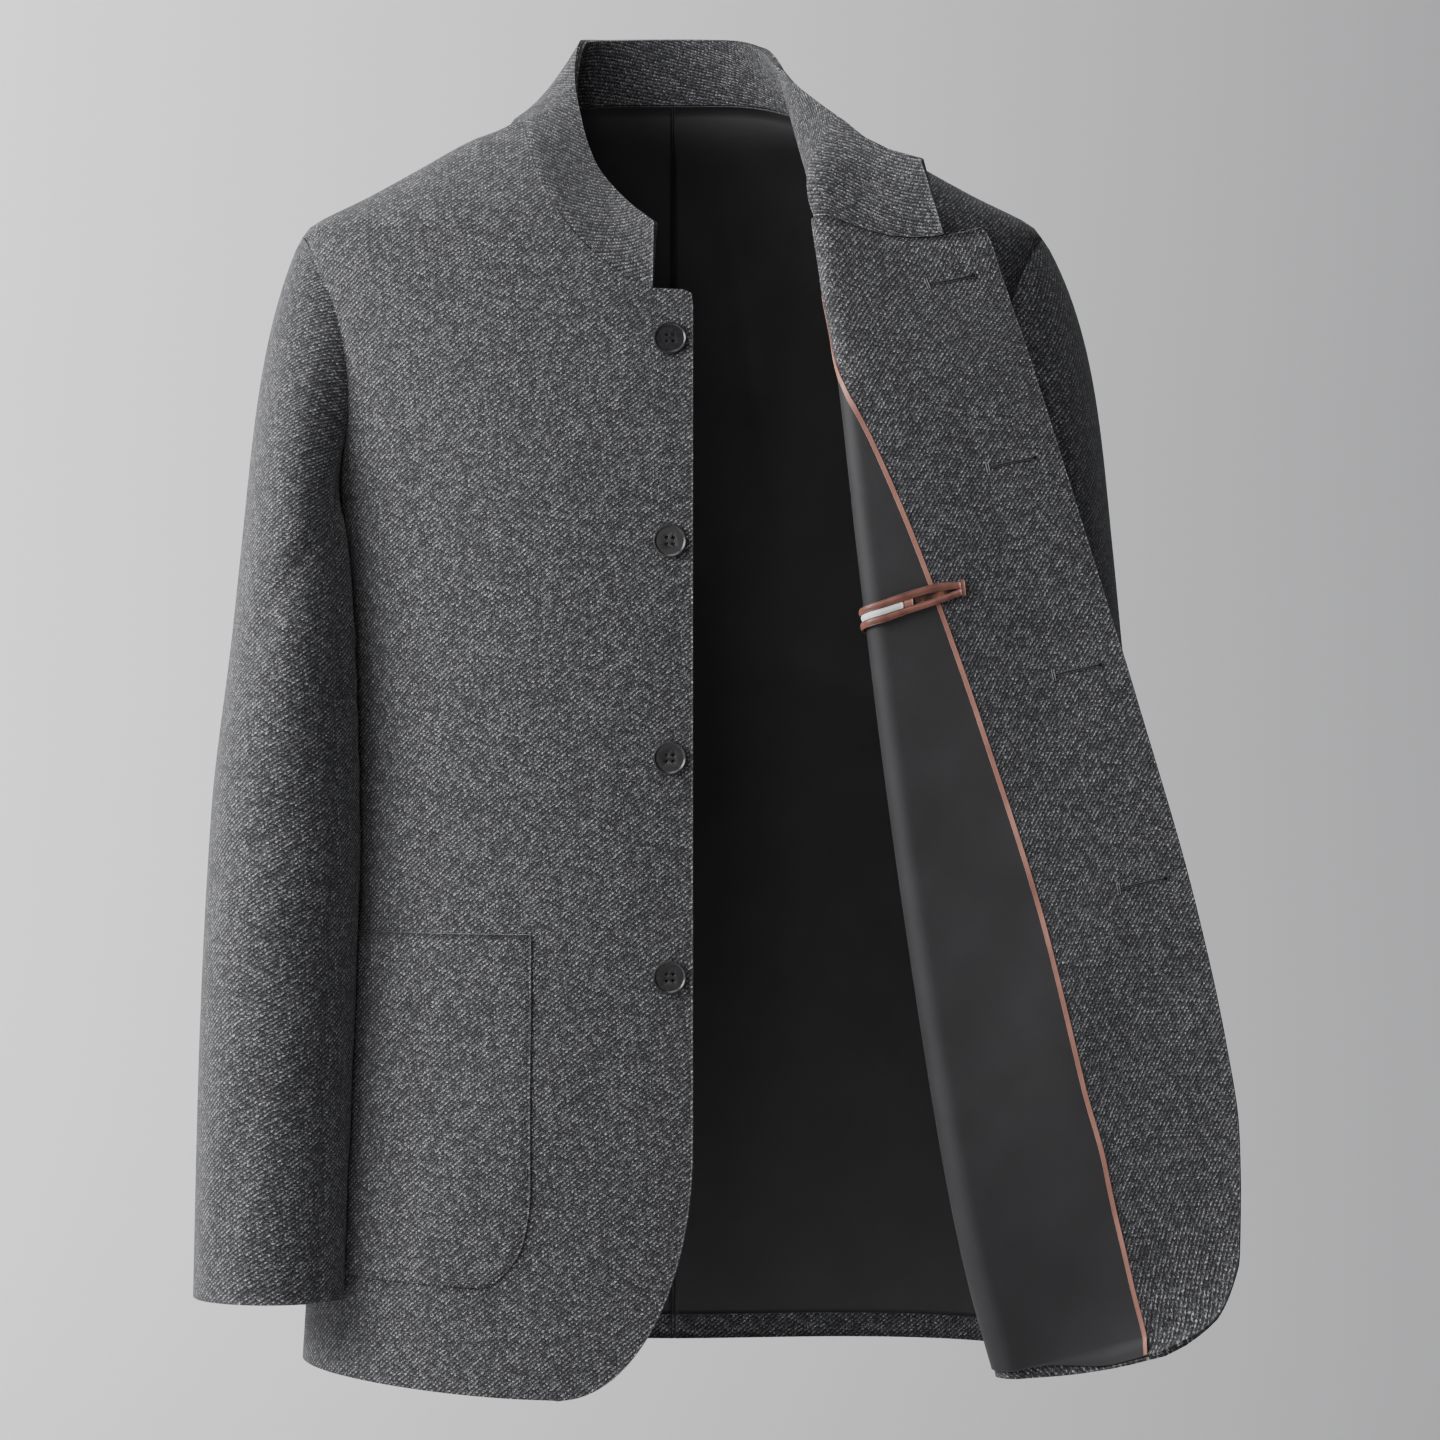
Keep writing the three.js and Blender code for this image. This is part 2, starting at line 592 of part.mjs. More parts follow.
// Collar, two layers, its seam on the neckline of every panel
function collarSeam() {
  const neckEnd = frontRowOf(collarEndRow);
  const seam = [];
  for (let i = neckEnd; i >= 0; i -= 1) seam.push(rightFront[i][0]);
  for (let j = 1; j <= backColumns; j += 1) seam.push(rightBack[0][j]);
  for (let j = backColumns - 1; j >= 0; j -= 1) seam.push(leftBack[0][j]);
  for (let i = 0; i <= frontRowOf(flapTopRow); i += 1) seam.push(leftFront[i][sideStart]);
  const flapRow = leftFront[frontRowOf(flapTopRow)];
  for (let j = sideStart - 1; j >= collarFlapColumns - 2; j -= 1) {
    if (j !== flapFacingColumns + 1) seam.push(flapRow[j]);
  }
  return seam;
}

function collarGrid() {
  const seam = collarSeam();
  const lengths = [0];
  for (let i = 1; i < seam.length; i += 1) {
    lengths.push(lengths[i - 1] + seam[i].point.distanceTo(seam[i - 1].point));
  }
  const total = lengths[lengths.length - 1];
  const grid = [];
  for (let k = 0; k <= collarRows; k += 1) grid.push([]);
  seam.forEach((cell, i) => {
    const value = (column) => tableValue(collarSections, "share", lengths[i] / total, column);
    const top = new THREE.Vector3(value("x"), value("y"), value("z"));
    const base = cell.point.clone();
    base.addScaledVector(cell.normal, value("lift") * (clothWall + layerGap));
    const middle = base.clone().lerp(top, 0.5);
    middle.add(new THREE.Vector3(value("bendX"), value("bendY"), value("bendZ")));
    const start = middle.clone().sub(base).setLength(collarSeamGap).add(base);
    const curve = new THREE.QuadraticBezierCurve3(
      start,
      middle.clone().multiplyScalar(2).sub(start.clone().lerp(top, 0.5)),
      top,
    );
    const normal = cell.normal.clone();
    for (let k = 0; k <= collarRows; k += 1) {
      grid[k].push({ point: curve.getPoint(k / collarRows), normal: normal.clone() });
    }
  });
  averageNormals(grid, 0, seam.length - 1);
  return grid;
}

const collar = collarGrid();
addWall("collar", collar, 0, clothWall, woolMaterial);
const collarLayer = piece(collar, span(0, collarRows), span(0, collar[0].length - 1), {
  top: collarFacingTrim,
});
addWall("collar_facing", collarLayer, facingFrom, -layerGap, woolMaterial);

// Sleeves, each a top sleeve and an under sleeve
function sleeveRing(z, turn, isBack, setBack) {
  const value = (column) => tableValue(sleeveSections, "z", z, column);
  const half = (value("outer") - value("inner")) / 2;
  const centreX = value("inner") + half;
  const reach = value("halfDepth") * Math.sin(turn) * (isBack ? 1 : -1);
  const share = THREE.MathUtils.smoothstep(-z, -sleeveSections[0].z, -sleeveSections[2].z);
  const point = new THREE.Vector3(
    centreX - half * Math.cos(turn),
    value("centreY") + setBack * share + reach,
    z,
  );
  return clearOfBody(point);
}

function clearOfBody(point) {
  const face = point.y > 0 ? "back" : "front";
  const depth = tableValue(bodySections, "z", point.z, face) + sleeveClearance;
  const width = tableValue(bodySections, "z", point.z, "halfWidth") + sleeveClearance;
  const share = Math.min(1, Math.abs(point.y) / depth);
  point.x = Math.max(point.x, width * (1 - share ** squareness) ** (1 / squareness));
  return point;
}

function sleeveGrid(setBack) {
  const stations = [];
  const ringStart = sleeveSections[0].z;
  const addStation = (z, isBack) => {
    const share = THREE.MathUtils.clamp((z - underarmZ) / (shoulderTipZ - underarmZ), 0, 1);
    stations.push({ z, isBack, turn: Math.acos(1 - 2 * share) });
  };
  addStation(underarmZ, false);
  sleeveStations.forEach((z) => addStation(z, false));
  addStation(shoulderTipZ, false);
  [...sleeveStations].reverse().forEach((z) => addStation(z, true));
  addStation(underarmZ, true);
  const grid = [];
  for (let i = 0; i <= capRows + sleeveRows.length; i += 1) grid.push([]);
  stations.forEach(({ z, isBack, turn }) => {
    const angle = sideAngle(z, isBack);
    const normal = bodyNormal(angle, z);
    const underarm = Math.max(0, Math.cos(turn));
    const stand = clothWall + layerGap + clothWall * underarm;
    const start = bodyPoint(angle, z).addScaledVector(normal, stand);
    const end = sleeveRing(ringStart, turn, isBack, setBack);
    const length = start.distanceTo(end);
    const forward = capLean.forward * Math.sin(turn) * (isBack ? 1 : -1);
    const drop = capLean.frontDrop + (capLean.topDrop - capLean.frontDrop) * Math.abs(Math.cos(turn));
    const lead = new THREE.Vector3(capLean.out * (1 - underarm), forward, -drop);
    lead.setLength(length / 3).add(start);
    const below = sleeveRing(ringStart - 10, turn, isBack, setBack);
    const trail = end.clone().sub(below).setLength(length / 3).add(end);
    const cap = new THREE.CubicBezierCurve3(start, lead, trail, end);
    for (let i = 0; i <= capRows; i += 1) {
      const point = cap.getPoint(i / capRows);
      if (point.z < underarmZ) clearOfBody(point);
      grid[i].push({ point, normal: new THREE.Vector3() });
    }
    sleeveRows.forEach((height, i) => {
      const point = sleeveRing(height, turn, isBack, setBack);
      grid[capRows + 1 + i].push({ point, normal: new THREE.Vector3() });
    });
  });
  grid.forEach((row) => {
    const centre = new THREE.Vector3();
    row.forEach((cell) => centre.add(cell.point));
    centre.divideScalar(row.length);
    row.forEach((cell) => cell.normal.copy(cell.point).sub(centre));
  });
  averageNormals(grid, 0, stations.length - 1);
  grid.forEach((row) => {
    const joined = row[0].normal.clone().add(row[row.length - 1].normal).normalize();
    row[0].normal.copy(joined);
    row[row.length - 1].normal.copy(joined);
  });
  return grid;
}

function addSleeve(side, grid) {
  const rows = span(0, grid.length - 1);
  const last = grid[0].length - 1;
  const top = span(frontSleeveSeam, backSleeveSeam);
  const under = [...span(backSleeveSeam, last), ...span(1, frontSleeveSeam)];
  const trims = { first: seamHalf, last: seamHalf };
  addWall(`sleeve_top_${side}`, piece(grid, rows, top, trims), 0, clothWall, woolMaterial);
  addWall(`sleeve_under_${side}`, piece(grid, rows, under, trims), 0, clothWall, woolMaterial);
}

addSleeve("left", sleeveGrid(leftSleeveSetBack));
addSleeve("right", mirrored(sleeveGrid(0)));

// Patch pockets, made from the points of the panel under them
function pocketGrid(grid, startColumn, endColumn, skipped) {
  return pocketRows.map((z, k) => {
    const row = grid[frontRowOf(z)];
    const columns = span(startColumn, endColumn).filter((j) => j !== skipped);
    const cells = columns.map((j) => row[j]);
    const corner = pocketCornerShares[k];
    const last = cells.length - 1;
    const first = between(cells[0], cells[1], corner);
    const end = between(cells[last], cells[last - 1], corner);
    return [first, ...cells.slice(1, last), end];
  });
}

const pocketFrom = clothWall + layerGap;
const pocketTo = pocketFrom + clothWall;
const rightPocket = pocketGrid(rightFront, facingColumns, rightLast - 1, facingColumns + 1);
addWall("pocket_right", rightPocket, pocketFrom, pocketTo, woolMaterial);
const leftPocket = pocketGrid(leftFront, flapFacingColumns, leftLast - 1, flapFacingColumns + 1);
addWall("pocket_left", leftPocket, pocketFrom, pocketTo, woolMaterial);

// Jetted inner pocket on the turned back front
const weltRows = [frontRowOf(welt.top), frontRowOf(welt.bottom)];
const weltColumns = leftColumns.filter((j) => j >= flapFacingColumns - 1 && j <= rollStart + 2);
const weltFrom = pipingFrom - layerGap - liningWall;
const weltTo = pipingFrom - layerGap;
addWall("inner_pocket_welt", piece(leftFront, weltRows, weltColumns), weltFrom, weltTo, pipingMaterial);

// Four-hole buttons down the right front
function addButton(number, height) {
  const outline = new THREE.Shape();
  outline.absarc(0, 0, button.radius, 0, 2 * Math.PI);
  [-1, 1].forEach((across) => {
    [-1, 1].forEach((along) => {
      const hole = new THREE.Path();
      const x = across * button.holeSpacing;
      const y = along * button.holeSpacing;
      hole.absarc(x, y, button.holeRadius, 0, 2 * Math.PI, true);
      outline.holes.push(new THREE.Path(hole.getPoints(4)));
    });
  });
  const disc = new THREE.Shape(outline.getPoints(button.segments / 2));
  disc.holes = outline.holes;
  const geometry = new THREE.ExtrudeGeometry(disc, {
    depth: button.thickness,
    bevelEnabled: false,
    curveSegments: 1,
  });
  const mesh = new THREE.Mesh(geometry, new THREE.MeshStandardMaterial(buttonMaterial));
  mesh.name = `button_${number}`;
  const normal = bodyNormal(0, height);
  mesh.position.copy(bodyPoint(0, height)).addScaledVector(normal, clothWall + layerGap);
  mesh.quaternion.setFromUnitVectors(new THREE.Vector3(0, 0, 1), normal);
  group.add(mesh);
}

buttonHeights.forEach((height, i) => addButton(i + 1, height));

export default group;
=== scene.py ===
import math

import bmesh
import bpy
import numpy as np
from mathutils import Matrix, Vector


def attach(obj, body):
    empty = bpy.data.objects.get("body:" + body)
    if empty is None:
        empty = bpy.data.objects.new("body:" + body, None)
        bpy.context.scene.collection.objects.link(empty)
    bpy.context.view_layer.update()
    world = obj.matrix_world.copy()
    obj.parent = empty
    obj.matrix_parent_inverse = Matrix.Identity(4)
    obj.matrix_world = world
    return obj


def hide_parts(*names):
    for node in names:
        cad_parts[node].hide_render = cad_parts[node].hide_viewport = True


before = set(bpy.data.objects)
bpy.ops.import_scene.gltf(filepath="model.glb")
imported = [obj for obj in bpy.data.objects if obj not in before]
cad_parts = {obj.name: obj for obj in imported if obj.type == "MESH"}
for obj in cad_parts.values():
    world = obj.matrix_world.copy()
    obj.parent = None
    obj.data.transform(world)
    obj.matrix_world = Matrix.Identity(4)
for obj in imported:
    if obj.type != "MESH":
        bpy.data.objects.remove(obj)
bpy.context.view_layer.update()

# Sizes below are millimetres, and a mesh is made in metres.
mm = 0.001
rad = math.radians


# Rows of a table under named columns
def table(columns, *rows):
    names = columns.split()
    return [dict(zip(names, row)) for row in rows]


# Layers of cloth, from the outside in
cloth = {"wool": 1.8, "lining": 1.0, "gap": 0.3, "seamHalf": 0.1}

# Level sections of the body: half width, and depth in front and behind
squareness = 2.3
bodySections = table(
    "z halfWidth front back",
    (8, 87, 12, 62),
    (-9, 96, 22, 66),
    (-20, 121, 36, 76),
    (-37, 151, 51, 86),
    (-55, 183, 64, 93),
    (-77, 222, 76, 98),
    (-98, 221, 84, 102),
    (-124, 217, 92, 106),
    (-178, 210, 104, 111),
    (-235, 205, 113, 112),
    (-309, 201, 119, 108),
    (-420, 196, 122, 99),
    (-530, 202, 125, 104),
    (-650, 213, 129, 112),
    (-756, 220, 132, 116),
)
shoulderSoftness = 5
armhole = {"under": -235, "tip": -77, "depth": 0.1, "roundness": 0.6}
neck = {"halfWidth": 88, "top": -8, "drop": 108, "squareness": 1.65, "backRise": 20, "fade": 28}
neckRow = -9.5
collarEnd = -114
notch = -115
liningTop = -117
notchCorner = table(
    "z inset",
    (-115, 5),
    (-117, 1),
    (-124, 0),
)
frontEdge = {"overlap": 13, "cornerFrom": -612, "cornerHeight": 144, "cornerWidth": 78}
frontHem = {"from": -612, "low": -756, "rise": 11, "flatTo": 66}
backHem = {"from": -612, "low": -750, "rise": 5}
facing = {"seam": 80, "neckShare": 0.3, "piping": 2.3, "past": 1.5, "underlap": 12}
liningHem = {
    "back": -735,
    "front": -735,
    "folded": -750,
    "foldedLow": -755.4,
    "slantFrom": 8,
    "slantTo": 60,
    "leastSlant": 0.15,
}

# The turned back left front: fold crest, roll radius, outer edge and dip of the rows
foldSections = table(
    "z crest roll x y edgeZ dip",
    (-72, 84, 7, 181, -84, -78, 9),
    (-77, 84.5, 7, 184.5, -84.5, -82, 8),
    (-98, 87.5, 7, 193, -86, -107, 5),
    (-117, 90, 7, 199, -89, -126, 2),
    (-150, 96, 7, 206.5, -94, -149, 0),
    (-265, 109, 8, 235, -108, -242, 0),
    (-387, 124, 9, 269, -115, -353, 0),
    (-513, 142, 10, 302, -116, -468, 0),
    (-612, 158, 11, 321.5, -115, -557, 0),
    (-660, 167, 11, 328, -115, -602, 0),
    (-700, 176, 11, 329, -114, -640, 0),
    (-730, 184, 11, 328.5, -113, -676, 2),
    (-740, 186.7, 11, 324.5, -113, -692, 3),
    (-748, 189, 11, 317, -113, -709, 4),
    (-753, 190.3, 11, 304, -113, -721, 5.5),
    (-756, 191, 11, 285, -113, -731, 6),
)
flap = {"top": -72, "heading": 3, "rise": 1.5, "blend": 40}

# Seam of the facing and lining on the turned part, measured from the end of the roll
seamSections = table(
    "z reach",
    (-117, -13),
    (-140, -11),
    (-175, -3),
    (-207, 8),
    (-267, 25),
    (-387, 51),
    (-513, 71),
    (-612, 79),
    (-660, 83),
    (-700, 83),
    (-734, 81),
    (-756, 80),
)
leftNeckline = table(
    "z x",
    (-9.5, 88),
    (-37, 90.5),
    (-72, 92),
)

# Collar: its top edge, the bend of the band and how far it stands on the panel
collarSections = table(
    "share x y z bx by bz lift",
    (0, -9, -76, -74, 0, 0, 0, 0),
    (0.07, -26, -58, -60, 0, 0, 0, 0.3),
    (0.144, -45, -36, -36, 0, 0, 0, 0.7),
    (0.227, -54, -14, -8, -1, 0, 0, 1),
    (0.301, -58, 12, 22, -1, 0, 0, 1),
    (0.365, -54, 42, 48, -1, 1, 0, 1),
    (0.43, -34, 55, 50, 0, 1, 0, 1),
    (0.511, 0, 60, 51, 0, 1, 0, 1),
    (0.592, 34, 55, 50, 0, 1, 0, 1),
    (0.656, 54, 44, 44, -2, 0, 0, 1),
    (0.72, 67, 11, 26, -6, -4, -4, 1),
    (0.77, 76, -9, 13, -9, -1, -4, 1),
    (0.81, 87, -24, 2, -11, -4, -4, 1),
    (0.862, 100, -42, -10, -11, -6, 0, 1),
    (0.93, 122, -62, -28, 0, 0, 0, 0),
    (1, 147, -77, -37, 0, 0, 0, 0),
)
collarOnFlap = 0.7625

# Sleeves, level sections below the armhole
sleeveSections = table(
    "z outer inner y depth",
    (-262, 254, 184, -20, 72),
    (-317, 259, 180, -30, 68),
    (-420, 270, 180, -43, 60),
    (-560, 276, 184, -55, 54),
    (-709, 279, 188, -62, 48),
)
sleeve = {
    "clear": 8.4,
    "cuff": -703,
    "stand": 0.35,
    "forward": 0.35,
    "topDrop": 1,
    "frontDrop": 0.6,
    "frontSeam": 51.7,
    "backSeam": 246.1,
    "seamTurn": 0.16,
    "pad": 1.2,
    "capEnd": -262,
    "setBackBy": -420,
    "belowCap": -272,
}
sleeveHang = {
    "Left": {"setBack": 18, "swing": 6.5, "out": 0.6},
    "Right": {"setBack": 0, "swing": 0, "out": 0.45},
}


# A smooth curve through the rows of a table that never overshoots a row
def curve(rows, key, column, at):
    ordered = sorted(rows, key=lambda row: row[key])
    x = np.array([row[key] for row in ordered], float)
    y = np.array([row[column] for row in ordered], float)
    rise = np.diff(y) / np.diff(x)
    slope = np.concatenate([[rise[0]], np.zeros(len(rise) - 1), [rise[-1]]])
    before, after = rise[:-1], rise[1:]
    same = before * after > 0
    slope[1:-1][same] = 2 * (before * after)[same] / (before + after)[same]
    at = np.clip(np.asarray(at, float), x[0], x[-1])
    i = np.clip(np.searchsorted(x, at, side="right") - 1, 0, len(x) - 2)
    h = x[i + 1] - x[i]
    t = (at - x[i]) / h
    s = 1 - t
    ends = s * s * (1 + 2 * t) * y[i] + t * t * (1 + 2 * s) * y[i + 1]
    return ends + t * s * h * (s * slope[i] - t * slope[i + 1])


def smoothstep(value, low, high):
    t = np.clip((np.asarray(value, float) - low) / (high - low), 0, 1)
    return t * t * (3 - 2 * t)


# The sections, softened where the shoulder turns into the chest and back
profileZ = np.arange(-770, 20, 1.0)
kernelReach = 24
kernel = np.exp(-0.5 * (np.arange(-kernelReach, kernelReach + 1) / shoulderSoftness) ** 2)
kernel /= kernel.sum()
softZone = {"top": -25, "fullTop": -50, "fullLow": -120, "low": -160}


def softProfile(column):
    sharp = curve(bodySections, "z", column, profileZ)
    soft = np.convolve(np.pad(sharp, kernelReach, mode="edge"), kernel, mode="valid")
    share = smoothstep(profileZ, softZone["top"], softZone["fullTop"])
    share = share * smoothstep(profileZ, softZone["low"], softZone["fullLow"])
    return sharp + (soft - sharp) * share


profiles = {name: softProfile(name) for name in ("halfWidth", "front", "back")}


def profile(name, z):
    return np.interp(z, profileZ, profiles[name])


# Lengths of cloth up the body, used to lay the weave, with the steepest rows held back
laidLengths = {}
steepest = 1.5
for name in ("front", "back"):
    slope = np.gradient(profiles[name], profileZ)
    laidLengths[name] = np.cumsum(np.sqrt(1 + np.minimum(slope**2, steepest)))


def laidHeight(name, z):
    return np.interp(z, profileZ, laidLengths[name])


# A point of the body's inner face; the angle is 0 in front and 90 degrees at the side
def bodyPoint(angle, z):
    angle, z = np.broadcast_arrays(np.asarray(angle, float), np.asarray(z, float))
    depth = np.where(np.cos(angle) > 0, profile("front", z), profile("back", z))
    across = (np.abs(np.sin(angle)) / profile("halfWidth", z)) ** squareness
    along = (np.abs(np.cos(angle)) / depth) ** squareness
    radius = (across + along) ** (-1 / squareness)
    return np.stack([radius * np.sin(angle), -radius * np.cos(angle), z], axis=-1)


def unit(v):
    return v / np.maximum(np.linalg.norm(v, axis=-1, keepdims=True), 1e-9)


# Lengths along a line of points, from its first one
def lengthsOf(points):
    return np.concatenate([[0], np.cumsum(np.linalg.norm(np.diff(points, axis=0), axis=1))])


def bodyNormal(angle, z):
    around = bodyPoint(angle + 0.01, z) - bodyPoint(angle - 0.01, z)
    up = bodyPoint(angle, z + 1) - bodyPoint(angle, z - 1)
    return unit(np.cross(around, up))


quarter = np.radians(np.arange(0, 90.25, 0.5))


def quarterTable(z):
    points = bodyPoint(quarter, np.full(len(quarter), z))
    return points[:, 0], lengthsOf(points)


def sideAngle(z, isBack):
    if z >= armhole["tip"] or z <= armhole["under"]:
        return rad(90)
    share = (z - armhole["under"]) / (armhole["tip"] - armhole["under"])
    inset = armhole["depth"] * math.sin(math.pi * share) ** armhole["roundness"]
    width = profile("halfWidth", z) * (1 - inset)
    depth = profile("back" if isBack else "front", z)
    y = depth * (1 - (1 - inset) ** squareness) ** (1 / squareness)
    angle = math.atan2(width, y)
    return math.pi - angle if isBack else angle


# Where a row of a front starts and ends, as arc lengths from the centre line
def frontLimits(z):
    xs, arcs = quarterTable(z)
    sideArc = np.interp(sideAngle(z, False), quarter, arcs)
    if z > notch:
        drop = min((neck["top"] - z) / neck["drop"], 1)
        x = neck["halfWidth"] * (1 - drop ** neck["squareness"]) ** (1 / neck["squareness"])
        edgeArc = np.interp(x, xs, arcs)
    else:
        drop = max(0, (frontEdge["cornerFrom"] - z) / frontEdge["cornerHeight"])
        edgeArc = frontEdge["cornerWidth"] * (1 - math.sqrt(max(0, 1 - drop * drop)))
        edgeArc += curve(notchCorner, "z", "inset", z) - frontEdge["overlap"]
    return float(edgeArc), float(sideArc)


def frontPoints(z, arc, sideArc):
    xs, arcs = quarterTable(z)
    angle = np.sign(arc) * np.interp(np.abs(arc), arcs, quarter)
    fade = np.clip((frontHem["from"] - z) / (frontHem["from"] - frontHem["low"]), 0, 1)
    height = z + frontHem["rise"] * smoothstep(arc, frontHem["flatTo"], sideArc) * fade
    return bodyPoint(angle, height), bodyNormal(angle, height)


creaseEnd = {"from": 0.3, "fade": 0.18}


# Softly placed creases: each runs from one place to another on the cloth and fades at its ends
def creaseDepth(creases, s, z):
    total = np.zeros(np.broadcast(s, z).shape)
    for crease in creases:
        run = np.array([crease["s1"] - crease["s0"], crease["z1"] - crease["z0"]], float)
        length = np.hypot(*run)
        run /= length
        along = ((s - crease["s0"]) * run[0] + (z - crease["z0"]) * run[1]) / length
        across = -(s - crease["s0"]) * run[1] + (z - crease["z0"]) * run[0]
        across = across - crease["bow"] * (1 - (2 * along - 1) ** 2)
        past = np.clip(np.abs(along - 0.5) - creaseEnd["from"], 0, None)
        ends = np.exp(-((past / creaseEnd["fade"]) ** 2))
        total += crease["depth"] * ends * np.exp(-((across / crease["width"]) ** 2))
    return total


# Shares of a width with close steps next to both ends
def shares(count, tight=0.004):
    second = 3.2 * tight
    inner = np.linspace(second, 1 - second, count)
    return np.concatenate([[0, tight], inner, [1 - tight, 1]])


def rowHeights(top, low, step, stops=()):
    edges = [top, *[z for z in stops if low < z < top], low]
    rows = []
    for start, end in zip(edges[:-1], edges[1:]):
        count = max(1, round((start - end) / step))
        rows.extend(np.linspace(start, end, count, endpoint=False))
    return [float(z) for z in rows] + [float(low)]


# Rows round the lower corner of a front, closer together towards the hem
def cornerHeights(step=3.0):
    drops = np.sin(np.radians(np.arange(step, 90.001, step)))
    return [float(frontEdge["cornerFrom"] - frontEdge["cornerHeight"] * drop) for drop in drops]


# The outward normals of a grid, and each point's place on the flat cloth
def finishGrid(points, guide):
    p = np.asarray(points, float)
    n = np.asarray(guide, float)
    du = np.gradient(p, axis=1)
    dv = np.gradient(p, axis=0)
    flat = np.cross(du, dv)
    flat = flat * np.sign((unit(flat) * n).sum())
    ok = np.linalg.norm(flat, axis=-1, keepdims=True) > 1e-6
    normal = unit(np.where(ok, flat, n))
    stepsU = np.linalg.norm(np.diff(p, axis=1), axis=2)
    u = np.concatenate([np.zeros((len(p), 1)), np.cumsum(stepsU, axis=1)], axis=1)
    v = -lengthsOf(p[:, p.shape[1] // 2])
    v = np.repeat(v[:, None], p.shape[1], axis=1)
    return {"p": p, "n": normal, "u": u, "v": v}


# Values of a line of points at given lengths along it
def onLine(at, length, line):
    return np.stack([np.interp(at, length, line[:, k]) for k in range(3)], axis=-1)


# Lays the weave with every column as wide all the way up, and its height from one row
def evenlyLaid(grid, fromRow):
    grid["u"] = np.repeat(lengthsOf(grid["p"][fromRow])[None], len(grid["p"]), axis=0)
    steps = np.linalg.norm(np.diff(grid["p"], axis=0), axis=2)
    down = np.concatenate([np.zeros((1, steps.shape[1])), np.cumsum(steps, axis=0)])
    grid["v"] = down[fromRow] - down
    return grid


def mirrored(grid):
    flip = np.array([-1.0, 1, 1])
    return {"p": grid["p"] * flip, "n": grid["n"] * flip, "u": -grid["u"], "v": grid["v"]}


def moved(grid, distance):
    distance = np.broadcast_to(distance, grid["u"].shape)
    return {**grid, "p": grid["p"] + grid["n"] * distance[..., None]}


# Thins the outer face next to a seam so that the seam lies in a valley
def seamValley(grid, sides, depth=0.8, reach=3.0):
    rows, columns = grid["u"].shape
    sink = np.zeros((rows, columns))
    acrossU = np.abs(grid["u"])
    width = acrossU.max(axis=1, keepdims=True)
    low = acrossU.min(axis=1, keepdims=True)
    stepsV = np.linalg.norm(np.diff(grid["p"], axis=0), axis=2)
    fromTop = np.concatenate([np.zeros((1, columns)), np.cumsum(stepsV, axis=0)])
    distances = {
        "start": acrossU - low,
        "end": width - acrossU,
        "top": fromTop,
        "low": fromTop[-1:] - fromTop,
    }
    for side in sides:
        sink = np.maximum(sink, depth * np.exp(-((distances[side] / reach) ** 2)))
    return sink


def addObject(name, data):
    obj = bpy.data.objects.new(name, data)
    bpy.context.scene.collection.objects.link(obj)
    return obj


rimShape = {"out": 0.3, "leastStep": 1.0}


